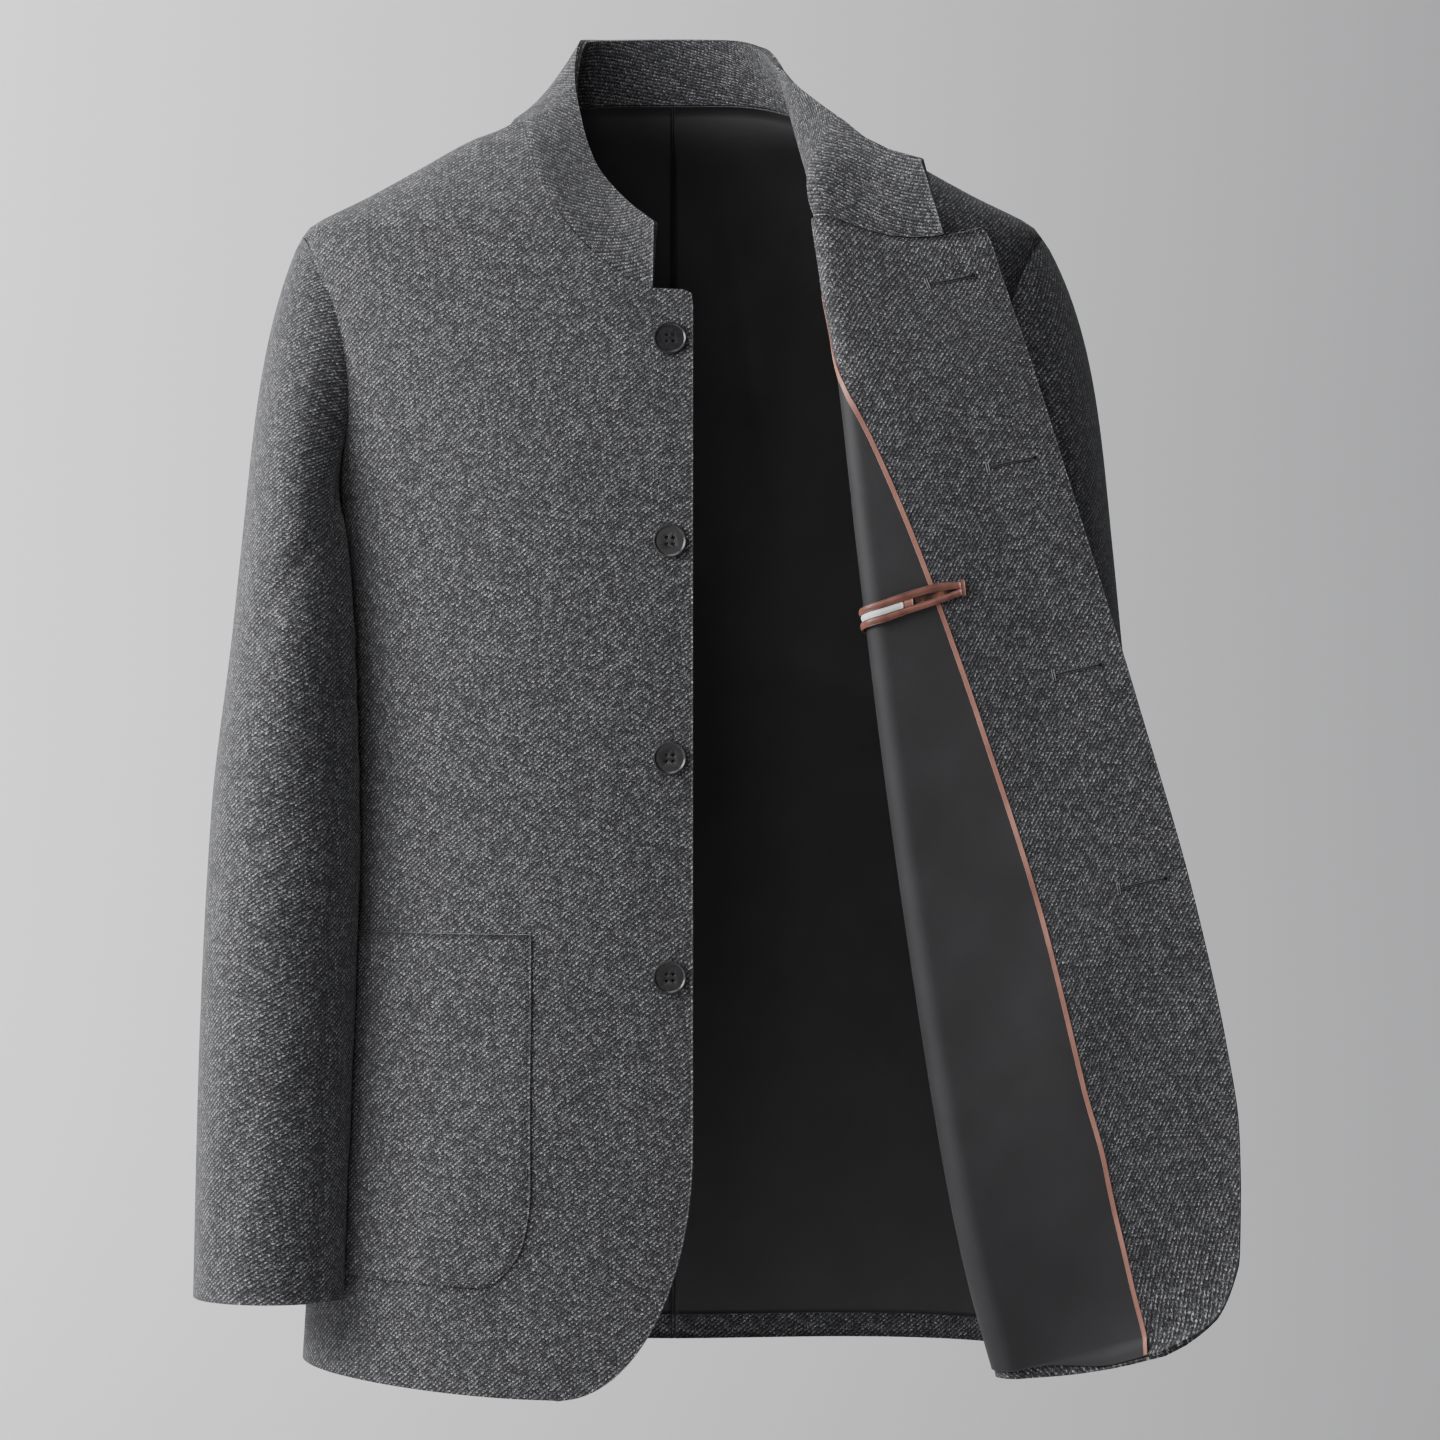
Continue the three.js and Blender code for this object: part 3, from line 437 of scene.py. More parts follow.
# A closed shell of cloth over a grid, between two distances from it, with rounded rims
def shell(name, grid, low, high, keep=None, sink=0):
    p, n = grid["p"], grid["n"]
    rows, columns = grid["u"].shape
    full = np.ones((rows - 1, columns - 1), bool) if keep is None else keep
    inner = p + n * low
    outer = p + n * (high - np.broadcast_to(sink, (rows, columns)))[..., None]
    mesh = bpy.data.meshes.new(name)
    bm = bmesh.new()
    uvLayer = bm.loops.layers.uv.new("cloth")
    used = np.zeros((rows, columns), bool)
    for a, b in ((0, 0), (0, 1), (1, 0), (1, 1)):
        used[a : rows - 1 + a, b : columns - 1 + b] |= full
    index = {}
    for i, j in zip(*np.nonzero(used)):
        index[i, j] = (bm.verts.new(outer[i, j] * mm), bm.verts.new(inner[i, j] * mm))
    uvOf = {}
    for (i, j), pair in index.items():
        for vert in pair:
            uvOf[vert] = (grid["u"][i, j] * 0.01, grid["v"][i, j] * 0.01)
    cells = np.argwhere(full)
    i, j = cells[len(cells) // 2]
    across = p[i, j + 1] - p[i, j]
    down = p[i + 1, j] - p[i, j]
    turned = np.dot(np.cross(down, across), n[i, j]) < 0

    def face(verts):
        made = bm.faces.new(verts[::-1] if turned else verts)
        for loop in made.loops:
            loop[uvLayer].uv = uvOf[loop.vert]

    rims = {}

    def rim(i, j):
        if (i, j) not in rims:
            away = np.zeros(3)
            for di, dj in ((0, 1), (1, 0), (0, -1), (-1, 0)):
                for reach in (1, 2, 3):
                    a, b = i - di * reach, j - dj * reach
                    beside = (i + di, j + dj) not in index or not borders(i, j, di, dj)
                    if beside and (a, b) in index:
                        step = p[i, j] - p[a, b]
                        if np.linalg.norm(step) > rimShape["leastStep"]:
                            away += step / np.linalg.norm(step)
                            break
            reach = (high - low) * rimShape["out"]
            middle = (inner[i, j] + outer[i, j]) / 2 + unit(away) * reach
            rims[i, j] = bm.verts.new(middle * mm)
            uvOf[rims[i, j]] = uvOf[index[i, j][0]]
        return rims[i, j]

    def borders(i, j, di, dj):
        if di == 0:
            column = j if dj > 0 else j - 1
            return isFull(i - 1, column) or isFull(i, column)
        row = i if di > 0 else i - 1
        return isFull(row, j - 1) or isFull(row, j)

    def isFull(i, j):
        return 0 <= i < rows - 1 and 0 <= j < columns - 1 and full[i, j]

    def rimFace(a, b):
        face([index[a][0], rim(*a), rim(*b), index[b][0]])
        face([rim(*a), index[a][1], index[b][1], rim(*b)])

    for i, j in cells.tolist():
        a, b, c, d = (i, j), (i + 1, j), (i + 1, j + 1), (i, j + 1)
        face([index[k][0] for k in (a, b, c, d)])
        face([index[k][1] for k in (a, d, c, b)])
        if not isFull(i - 1, j):
            rimFace(a, d)
        if not isFull(i + 1, j):
            rimFace(c, b)
        if not isFull(i, j - 1):
            rimFace(b, a)
        if not isFull(i, j + 1):
            rimFace(d, c)
    bm.to_mesh(mesh)
    bm.free()
    mesh.polygons.foreach_set("use_smooth", [True] * len(mesh.polygons))
    return addObject(name, mesh)


made = {}


def addCloth(name, node, grid, low, high, held, material, keep=None, sink=0, rests=()):
    obj = shell(name, grid, low, high, keep, sink)
    obj.data.materials.append(material)
    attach(obj, "root")
    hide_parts(node)
    made[name] = {"grid": grid, "keep": keep, "held": held, "rests": rests}
    return obj


# Camera at the photograph's place, floor and soft studio light
camera = {"place": (0.0288, -3.0, -0.365), "lens": 125, "sensor": 36}
lens = bpy.data.cameras.new("camera")
lens.lens = camera["lens"]
lens.sensor_width = camera["sensor"]
viewer = addObject("camera", lens)
viewer.location = camera["place"]
viewer.rotation_euler = (rad(90), 0, 0)
bpy.context.scene.camera = viewer

studio = {
    "floor": -0.95,
    "wall": 1.9,
    "size": 9,
    "bend": 0.9,
    # painted light falloff on the paper: its colour on the lit side and on the shaded side
    "paintedLitSide": (0.7, 0.7, 0.71, 1),
    "paintedShadedSide": (0.38, 0.38, 0.39, 1),
    "fade": 0.8,
    "roughness": 0.95,
    "bendSteps": 12,
}


# Shader node helpers: a socket is linked, and any other value is set
def feed(tree, node, values):
    for socket, value in values.items():
        if isinstance(value, bpy.types.NodeSocket):
            tree.links.new(value, node.inputs[socket])
        else:
            node.inputs[socket].default_value = value


def addNode(tree, kind, values=None, **settings):
    node = tree.nodes.new(kind)
    for key, value in settings.items():
        setattr(node, key, value)
    feed(tree, node, values or {})
    return node


def mathNode(tree, operation, *values):
    return addNode(tree, "ShaderNodeMath", dict(enumerate(values)), operation=operation).outputs[0]


def noiseNode(tree, place, scale, detail, roughness=0.5):
    values = {"Vector": place, "Scale": scale, "Detail": detail, "Roughness": roughness}
    return addNode(tree, "ShaderNodeTexNoise", values).outputs[0]


def mapNode(tree, value, start, end, low=0, high=1):
    values = {"Value": value, "From Min": start, "From Max": end, "To Min": low, "To Max": high}
    return addNode(tree, "ShaderNodeMapRange", values).outputs[0]


# Each stop is a place and a colour
def rampNode(tree, share, *stops):
    ramp = addNode(tree, "ShaderNodeValToRGB", {"Fac": share})
    elements = ramp.color_ramp.elements
    elements[0].position, elements[0].color = stops[0]
    elements[1].position, elements[1].color = stops[-1]
    for place, color in stops[1:-1]:
        elements.new(place).color = color
    return ramp.outputs["Color"]


def bumpNode(tree, height, strength, distance):
    values = {"Strength": strength, "Distance": distance, "Height": height}
    return addNode(tree, "ShaderNodeBump", values).outputs[0]


def newMaterial(name, slot=None):
    material = bpy.data.materials.new(name)
    material.use_nodes = True
    if slot:
        material["slot"] = slot
    return material, material.node_tree, material.node_tree.nodes["Principled BSDF"]


# Paper with painted light falloff: painted lighter on the left and darker towards the right, and it can be
# looked through from behind
def backdropMaterial():
    material, tree, shader = newMaterial("backdrop")
    place = addNode(tree, "ShaderNodeTexCoord").outputs["Object"]
    across = addNode(tree, "ShaderNodeSeparateXYZ", {"Vector": place}).outputs["X"]
    share = mapNode(tree, across, -studio["fade"], studio["fade"])
    # painted light falloff across the paper, lighter towards -X and darker towards +X
    color = rampNode(tree, share, (0, studio["paintedLitSide"]), (1, studio["paintedShadedSide"]))
    feed(tree, shader, {"Base Color": color, "Roughness": studio["roughness"]})
    clear = addNode(tree, "ShaderNodeBsdfTransparent").outputs[0]
    behind = addNode(tree, "ShaderNodeNewGeometry").outputs["Backfacing"]
    mixed = addNode(tree, "ShaderNodeMixShader", {0: behind, 1: shader.outputs[0], 2: clear})
    feed(tree, tree.nodes["Material Output"], {"Surface": mixed.outputs[0]})
    return material


def makeStudio():
    profilePoints = [(-studio["size"] / 2, 0)]
    bend = studio["bend"]
    for k in range(studio["bendSteps"] + 1):
        angle = rad(90) * k / studio["bendSteps"]
        y = studio["wall"] - bend + bend * math.sin(angle)
        profilePoints.append((y, bend - bend * math.cos(angle)))
    profilePoints.append((studio["wall"], studio["size"] / 2))
    half = studio["size"] / 2
    verts = [(x, y, z + studio["floor"]) for x in (-half, half) for y, z in profilePoints]
    count = len(profilePoints)
    faces = [(k, k + count, k + count + 1, k + 1) for k in range(count - 1)]
    mesh = bpy.data.meshes.new("backdrop")
    mesh.from_pydata(verts, [], faces)
    mesh.polygons.foreach_set("use_smooth", [True] * len(faces))
    mesh.materials.append(backdropMaterial())
    addObject("backdrop", mesh)


def addLight(name, place, target, size, power):
    data = bpy.data.lights.new(name, "AREA")
    data.shape = "RECTANGLE"
    data.size, data.size_y = size
    data.energy = power
    light = addObject(name, data)
    light.location = place
    aim = Vector(target) - Vector(place)
    light.rotation_euler = aim.to_track_quat("-Z", "Y").to_euler()


lights = table(
    "name place target size power",
    ("key", (-2.6, -2.1, 1.0), (0, 0, -0.35), (1.3, 1.3), 72),
    ("side", (-2.7, -0.8, 0.7), (0, 0, -0.35), (1.2, 1.6), 110),
    ("front", (-0.6, -3.6, 0.3), (0, 0, -0.35), (0.8, 0.8), 12),
    ("top", (-0.6, -0.8, 2.2), (0, 0, -0.35), (1.6, 1.6), 42),
    ("backdropLeft", (-2.6, 0.2, 1.2), (-1.0, 1.9, 0), (1.2, 2.2), 60),
)
makeStudio()
for light in lights:
    addLight(**light)
world = bpy.data.worlds.new("studio")
world.use_nodes = True
background = world.node_tree.nodes["Background"]
feed(world.node_tree, background, {"Color": (0.8, 0.82, 0.85, 1), "Strength": 0.14})
bpy.context.scene.world = world
print("studio ready")


# A node group that takes a Vector and numbers, and gives numbers
def newGroup(name, numbers, results):
    group = bpy.data.node_groups.new(name, "ShaderNodeTree")
    sockets = group.interface
    sockets.new_socket("Vector", in_out="INPUT", socket_type="NodeSocketVector")
    for label, value in numbers.items():
        socket = sockets.new_socket(label, in_out="INPUT", socket_type="NodeSocketFloat")
        socket.default_value = value
    for label in results:
        sockets.new_socket(label, in_out="OUTPUT", socket_type="NodeSocketFloat")
    given = group.nodes.new("NodeGroupInput").outputs
    return group, given, group.nodes.new("NodeGroupOutput")


# Twill: slanting ribs broken into yarn floats, with light and dark fibres in the yarn.
# One UV unit is 100 mm of cloth.
uvUnit = 100.0
twill = {
    "wander": 22,
    "floatRate": 0.9,
    "floatStep": 0.37,
    "floatDepth": 0.45,
    "fibreAcross": 150,
    "fibreAlong": 62,
    "speck": 130,
    "cloud": 3,
    "contrast": (0.37, 0.63),
    "fibreHeight": 0.6,
    "ribHeight": 0.55,
}


def makeTwillGroup():
    group, given, result = newGroup(
        "twillWeave",
        {"Pitch": 2.1, "Slant": 52, "Wander": 0.5},
        ["Rib", "Fibre", "Yarn", "Cloud", "Height"],
    )

    def calc(operation, *values):
        return mathNode(group, operation, *values)

    def placeOf(x, y):
        return addNode(group, "ShaderNodeCombineXYZ", {"X": x, "Y": y}).outputs[0]

    def wave(turns):
        return calc("MULTIPLY_ADD", calc("SINE", calc("MULTIPLY", turns, 2 * math.pi)), 0.5, 0.5)

    place = given["Vector"]
    axes = addNode(group, "ShaderNodeSeparateXYZ", {"Vector": place}).outputs
    angle = calc("RADIANS", given["Slant"])
    sine = calc("SINE", angle)
    cosine = calc("COSINE", angle)
    across = calc("SUBTRACT", calc("MULTIPLY", axes["Y"], cosine), calc("MULTIPLY", axes["X"], sine))
    along = calc("ADD", calc("MULTIPLY", axes["X"], cosine), calc("MULTIPLY", axes["Y"], sine))
    shift = calc("SUBTRACT", noiseNode(group, place, twill["wander"], 2), 0.5)
    shift = calc("MULTIPLY", shift, given["Wander"])
    perUnit = calc("DIVIDE", uvUnit, given["Pitch"])
    turns = calc("ADD", calc("MULTIPLY", across, perUnit), shift)
    row = calc("FLOOR", turns)
    floats = calc("MULTIPLY", calc("MULTIPLY", along, perUnit), twill["floatRate"])
    floats = calc("ADD", floats, calc("MULTIPLY", row, twill["floatStep"]))
    fineAcross = calc("MULTIPLY", across, twill["fibreAcross"])
    fineAlong = calc("MULTIPLY", along, twill["fibreAlong"])
    fibre = noiseNode(group, placeOf(fineAcross, fineAlong), 1.0, 3, 0.6)
    speck = noiseNode(group, place, twill["speck"], 1)
    fibre = calc("MULTIPLY_ADD", speck, 0.5, calc("MULTIPLY", fibre, 0.5))
    fibre = mapNode(group, fibre, *twill["contrast"])
    yarnPlace = placeOf(row, calc("FLOOR", floats))
    yarn = addNode(group, "ShaderNodeTexWhiteNoise", {"Vector": yarnPlace}).outputs[0]
    depth = calc("MULTIPLY_ADD", wave(floats), twill["floatDepth"], 1 - twill["floatDepth"])
    rib = calc("MULTIPLY", wave(turns), depth)
    ribHeight = calc("MULTIPLY", rib, twill["ribHeight"])
    height = calc("MULTIPLY_ADD", fibre, twill["fibreHeight"], ribHeight)
    cloud = noiseNode(group, place, twill["cloud"], 3)
    feed(group, result, {"Rib": rib, "Fibre": fibre, "Yarn": yarn, "Cloud": cloud, "Height": height})
    return group


# Plain weave of a thin lining or satin
def makePlainGroup():
    group, given, result = newGroup(
        "plainWeave", {"Threads": 220, "Clouds": 2.5}, ["Cross", "Cloud", "Height"]
    )
    place = given["Vector"]
    axes = addNode(group, "ShaderNodeSeparateXYZ", {"Vector": place}).outputs
    turn = mathNode(group, "MULTIPLY", given["Threads"], 2 * math.pi)
    warp = mathNode(group, "SINE", mathNode(group, "MULTIPLY", axes["X"], turn))
    weft = mathNode(group, "SINE", mathNode(group, "MULTIPLY", axes["Y"], turn))
    cross = mathNode(group, "MULTIPLY", warp, weft)
    cloud = noiseNode(group, place, given["Clouds"], 2)
    height = mathNode(group, "MULTIPLY_ADD", cross, 0.2, noiseNode(group, place, 60, 2))
    cross = mathNode(group, "MULTIPLY_ADD", cross, 0.5, 0.5)
    feed(group, result, {"Cross": cross, "Cloud": cloud, "Height": height})
    return group


twillGroup = makeTwillGroup()
plainGroup = makePlainGroup()

woolLooks = {
    "stops": (
        (0.12, (0.003, 0.003, 0.0035, 1)),
        (0.5, (0.03, 0.03, 0.033, 1)),
        (0.72, (0.12, 0.12, 0.126, 1)),
        (0.95, (0.46, 0.46, 0.47, 1)),
    ),
    "fibre": 0.54,
    "yarn": 0.2,
    "rib": 0.32,
    "cloud": (0.87, 1.13),
    "pitch": 2.2,
    "wander": 0.5,
    "bump": 0.6,
    "depth": 0.0006,
    "roughness": 0.92,
    "shine": 0.25,
    "sheen": 0.12,
    "sheenRoughness": 0.5,
}


def clothPlace(tree):
    return addNode(tree, "ShaderNodeUVMap", uv_map="cloth").outputs[0]


def makeWool(name, slant):
    looks = woolLooks
    material, tree, shader = newMaterial(name, "wool")
    given = {
        "Vector": clothPlace(tree),
        "Pitch": looks["pitch"],
        "Slant": slant,
        "Wander": looks["wander"],
    }
    weave = addNode(tree, "ShaderNodeGroup", given, node_tree=twillGroup).outputs
    value = mathNode(tree, "MULTIPLY", weave["Fibre"], looks["fibre"])
    value = mathNode(tree, "MULTIPLY_ADD", weave["Yarn"], looks["yarn"], value)
    value = mathNode(tree, "MULTIPLY_ADD", weave["Rib"], looks["rib"], value)
    color = rampNode(tree, value, *looks["stops"])
    cloudy = mapNode(tree, weave["Cloud"], 0, 1, *looks["cloud"])
    tinted = addNode(tree, "ShaderNodeVectorMath", {0: color, 1: cloudy}, operation="MULTIPLY")
    values = {
        "Base Color": tinted.outputs[0],
        "Normal": bumpNode(tree, weave["Height"], looks["bump"], looks["depth"]),
        "Roughness": looks["roughness"],
        "Specular IOR Level": looks["shine"],
        "Sheen Weight": looks["sheen"],
        "Sheen Roughness": looks["sheenRoughness"],
    }
    feed(tree, shader, values)
    return material


satinLooks = {
    "cross": 0.3,
    "smoother": 0.06,
    "rougher": 0.08,
    "depth": 0.0003,
    "shine": 0.35,
    "sheenRoughness": 0.4,
}


def makeSatin(name, slot, dark, light, roughness, threads, sheen, bump=0.25, cloud=2.5, stopsAt=(0.35, 0.95)):
    looks = satinLooks
    material, tree, shader = newMaterial(name, slot)
    given = {"Vector": clothPlace(tree), "Threads": threads, "Clouds": cloud}
    weave = addNode(tree, "ShaderNodeGroup", given, node_tree=plainGroup).outputs
    value = mathNode(tree, "MULTIPLY_ADD", weave["Cross"], looks["cross"], weave["Cloud"])
    smooth = roughness - looks["smoother"]
    values = {
        "Base Color": rampNode(tree, value, (stopsAt[0], dark), (stopsAt[1], light)),
        "Roughness": mapNode(tree, weave["Cloud"], 0, 1, smooth, roughness + looks["rougher"]),
        "Normal": bumpNode(tree, weave["Height"], bump, looks["depth"]),
        "Specular IOR Level": looks["shine"],
        "Sheen Weight": sheen,
        "Sheen Roughness": looks["sheenRoughness"],
    }
    feed(tree, shader, values)
    return material


woolMaterial = makeWool("wool", 40)
turnedWoolMaterial = makeWool("woolTurned", 54)
collarWoolMaterial = makeWool("woolCollar", -37)
collarFacingMaterial = makeWool("woolCollarFacing", 10)
liningMaterial = makeSatin(
    "lining", "lining", (0.0185, 0.0174, 0.0187, 1), (0.03, 0.0284, 0.0305, 1), 0.68, 120, 0.03
)
copperMaterial = makeSatin(
    "copperSatin", "piping", (0.05, 0.017, 0.013, 1), (0.27, 0.108, 0.08, 1), 0.34, 90, 0.1, 0.6, 7
)
pipingMaterial = makeSatin(
    "pipingSatin", "piping", (0.17, 0.064, 0.047, 1), (0.5, 0.235, 0.18, 1), 0.42, 90, 0.15, 0.5
)
whiteMaterial = makeSatin(
    "whiteTape", "piping", (0.62, 0.64, 0.63, 1), (0.85, 0.86, 0.85, 1), 0.7, 70, 0.1
)
# Inside of the pocket mouth: mostly near-black as painted shade, with painted highlights where the cloud
# noise is high
mouthShadeAndHighlightMaterial = makeSatin(
    "pocketMouthShadeAndHighlight", "piping", (0.012, 0.005, 0.004, 1), (0.4, 0.15, 0.085, 1), 0.4, 90, 0.1, 0.4, 13,
    (0.66, 0.86),
)


# Buttons and threads: fine noise in the colour and in the gloss
fineLooks = {"detail": 3, "darkAt": 0.35, "lightAt": 0.65, "smoother": 0.05, "rougher": 0.09}


def makeFine(name, slot, dark, light, roughness, scale):
    looks = fineLooks
    material, tree, shader = newMaterial(name, slot)
    place = addNode(tree, "ShaderNodeTexCoord").outputs["Object"]
    noise = noiseNode(tree, place, scale, looks["detail"])
    color = rampNode(tree, noise, (looks["darkAt"], dark), (looks["lightAt"], light))
    wear = mapNode(tree, noise, 0, 1, roughness - looks["smoother"], roughness + looks["rougher"])
    feed(tree, shader, {"Base Color": color, "Roughness": wear})
    return material


threadMaterial = makeFine("darkThread", "wool", (0.016, 0.016, 0.018, 1), (0.05, 0.05, 0.053, 1), 0.8, 900)
# Buttonhole slit: near-black, painted shade inside the opening
slitShadeMaterial = makeFine("slitShade", "wool", (0.001, 0.001, 0.001, 1), (0.004, 0.004, 0.004, 1), 0.85, 900)
tackMaterial = makeFine("greyThread", "wool", (0.07, 0.07, 0.074, 1), (0.2, 0.2, 0.205, 1), 0.8, 900)
print("materials ready")


# Right front, drawn on the wearer's left side and mirrored
frontCreases = table(
    "s0 z0 s1 z1 width depth bow",
    (150, -180, 95, -330, 26, -1.6, 8),
    (225, -255, 170, -420, 24, -2.2, -6),
    (60, -560, 150, -700, 34, 1.8, 10),
    (250, -420, 235, -640, 20, 1.5, 0),
)
backCreases = table(
    "s0 z0 s1 z1 width depth bow",
    (40, -150, 150, -230, 22, -1.8, 6),
    (60, -330, 200, -360, 18, -2.4, -8),
    (90, -395, 240, -420, 15, 1.6, 5),
    (70, -480, 95, -720, 36, 2.2, 12),
    (190, -500, 215, -730, 26, -1.6, -8),
)
rightColumns = {"front": 64, "facing": 18, "lining": 44}
pipingSteps = shares(3, 0.06)
rowStep = 4.5
hair = 1e-6


def frontRowsOf(top, low):
    stops = (flap["top"], collarEnd, *[row["z"] for row in notchCorner])
    upper = rowHeights(neckRow, frontEdge["cornerFrom"], rowStep, stops)
    rows = upper[:-1] + [frontEdge["cornerFrom"]] + cornerHeights()
    return [z for z in rows if low - hair <= z <= top + hair]


def facingSeamArc(edgeArc, sideArc):
    return max(facing["seam"], edgeArc + facing["neckShare"] * (sideArc - edgeArc))


def flatFrontGrid(rows, placeArcs):
    points, guides, arcRows = [], [], []
    for z in rows:
        edgeArc, sideArc = frontLimits(z)
        arcs = placeArcs(edgeArc, sideArc)
        point, normal = frontPoints(z, arcs, sideArc)
        points.append(point)
        guides.append(normal)
        arcRows.append(arcs)
    grid = finishGrid(points, guides)
    grid["u"] = np.array(arcRows)
    grid["v"] = laidHeight("front", grid["p"][:, :, 2])
    crease = creaseDepth(frontCreases, grid["u"], np.array(rows)[:, None])
    return mirrored(moved(grid, crease))


# The places of a row's columns, between two lines that run down a front
def betweenArcs(start, end, steps):
    def places(edgeArc, sideArc):
        first = start(edgeArc, sideArc)
        return first + steps * (end(edgeArc, sideArc) - first)

    return places


def edgeOf(edgeArc, sideArc):
    return edgeArc


def sideOf(edgeArc, sideArc):
    return sideArc - cloth["seamHalf"]


def seamInside(edgeArc, sideArc):
    return facingSeamArc(edgeArc, sideArc) + cloth["gap"]


def pipingEnd(edgeArc, sideArc):
    return seamInside(edgeArc, sideArc) + facing["piping"]


facingFrom = -(cloth["gap"] + cloth["wool"])
liningFrom = -(cloth["gap"] + cloth["lining"])
pipingFrom = liningFrom - cloth["gap"] - cloth["lining"]
pipingTo = liningFrom - cloth["gap"]

allRows = frontRowsOf(neckRow, frontHem["low"])
rightGrid = flatFrontGrid(allRows, betweenArcs(edgeOf, sideOf, shares(rightColumns["front"])))
addCloth(
    "frontRight", "front_right", rightGrid, 0, cloth["wool"], "hung", woolMaterial,
    sink=seamValley(rightGrid, ["end"]),
)
facingSteps = shares(rightColumns["facing"], 0.01)
rightFacingGrid = flatFrontGrid(allRows, betweenArcs(edgeOf, facingSeamArc, facingSteps))
addCloth(
    "facingRight", "facing_right", rightFacingGrid, facingFrom, -cloth["gap"], "hung", woolMaterial,
)
rightLiningRows = frontRowsOf(neckRow, liningHem["front"])
liningSteps = shares(rightColumns["lining"])
rightLiningGrid = flatFrontGrid(rightLiningRows, betweenArcs(seamInside, sideOf, liningSteps))
addCloth(
    "liningFrontRight", "lining_front_right", rightLiningGrid, liningFrom, -cloth["gap"], "hung",
    liningMaterial,
)
rightPipingRows = frontRowsOf(liningTop, liningHem["front"])
rightPipingGrid = flatFrontGrid(rightPipingRows, betweenArcs(seamInside, pipingEnd, pipingSteps))
addCloth(
    "pipingRight", "piping_right", rightPipingGrid, pipingFrom, pipingTo, "hung", pipingMaterial,
)
print("right front ready")


# Left front: the turned part from its edge to the roll, the roll, then the side
def startOfLeft(z):
    xs, arcs = quarterTable(z)
    crest = curve(foldSections, "z", "crest", z)
    radius = curve(foldSections, "z", "roll", z)
    guess = bodyNormal(np.interp(crest + radius, xs, quarter), z)
    return float(crest + radius * (1 - guess[0]))


def sideStart(z):
    xs, arcs = quarterTable(z)
    x = startOfLeft(min(z, flap["top"]))
    if z > flap["top"]:
        top = startOfLeft(flap["top"])
        neckX = curve(leftNeckline, "z", "x", z)
        share = smoothstep(z, flap["top"] + flap["blend"], flap["top"])
        x = neckX + (top - leftNeckline[-1]["x"]) * share
    return float(np.interp(x, xs, arcs)), float(x)


def foldedRow(z, flapShares, rollShares, sideShares):
    _, sideArc = frontLimits(z)
    startArc, _ = sideStart(z)
    start, startNormal = frontPoints(z, np.array([startArc]), sideArc)
    start, startNormal = start[0], startNormal[0]
    radius = float(curve(foldSections, "z", "roll", z))
    out = unit(np.array([startNormal[0], startNormal[1], 0]))
    inward = np.array([out[1], -out[0], 0])
    centre = start + out * radius
    heading = rad(flap["heading"])
    turn = math.pi - math.atan2(out[0], -out[1]) + heading

    def rollPoints(share):
        angle = (turn * np.asarray(share))[:, None]
        spoke = -np.cos(angle) * out + np.sin(angle) * inward
        return centre + spoke * radius, -spoke

    rollEnd, endNormal = rollPoints([1.0])
    rollEnd, endNormal = rollEnd[0], endNormal[0]
    edge = np.array([curve(foldSections, "z", name, z) for name in ("x", "y", "edgeZ")])
    reach = edge[0] - rollEnd[0]
    miss = edge[1] - rollEnd[1] - reach * math.tan(heading)
    w = np.asarray(flapShares, float)
    ease = flap["rise"] * w - (flap["rise"] - 1) * w * w
    dip = curve(foldSections, "z", "dip", z)
    flapPoints = np.stack(
        [
            rollEnd[0] + reach * w,
            rollEnd[1] + reach * math.tan(heading) * w + miss * w * w,
            rollEnd[2] + (edge[2] - rollEnd[2]) * ease - dip * np.sin(math.pi * w),
        ],
        axis=1,
    )
    rolled, rolledNormal = rollPoints(np.asarray(rollShares, float))
    arcs = startArc + (sideArc - cloth["seamHalf"] - startArc) * np.asarray(sideShares, float)
    side, sideNormal = frontPoints(z, arcs, sideArc)
    points = np.concatenate([flapPoints, rolled, side])
    normals = np.concatenate([np.repeat(endNormal[None], len(w), axis=0), rolledNormal, sideNormal])
    return points, normals


flapCreases = table(
    "s0 z0 s1 z1 width depth bow",
    (60, -200, 95, -420, 22, 1.6, 8),
    (120, -480, 60, -640, 30, -2.0, -10),
    (40, -330, 130, -360, 16, 1.1, 0),
)


lineSteps = {"flap": 90, "roll": 20, "side": 60}
creaseFade = {"from": 6, "to": 30}


# A level line of the left front as fine points, with the lengths to its roll and side
def leftLine(z):
    points, normals = foldedRow(
        z,
        np.linspace(1, 0, lineSteps["flap"]),
        np.linspace(1, 0, lineSteps["roll"] + 2)[1:-1],
        np.linspace(0, 1, lineSteps["side"]),
    )
    length = lengthsOf(points)
    marks = {
        "roll": length[lineSteps["flap"] - 1],
        "side": length[lineSteps["flap"] + lineSteps["roll"]],
        "end": length[-1],
    }
    return points, normals, length, marks


def seamPlace(z, marks):
    return marks["roll"] - curve(seamSections, "z", "reach", z)


def turnedCrease(reach, z):
    return creaseDepth(flapCreases, reach, z) * smoothstep(reach, creaseFade["from"], creaseFade["to"])


def leftGridOf(rows, placesOf):
    points, guides, reaches = [], [], []
    for z in rows:
        line, normals, length, marks = leftLine(z)
        at = placesOf(z, marks)
        points.append(onLine(at, length, line))
        guides.append(onLine(at, length, normals))
        reaches.append(marks["roll"] - at)
    grid = finishGrid(points, guides)
    reach = np.array(reaches)
    grid["u"] = -reach
    grid["v"] = laidHeight("front", np.array(rows))[:, None] + 0 * reach
    return moved(grid, turnedCrease(reach, np.array(rows)[:, None]))


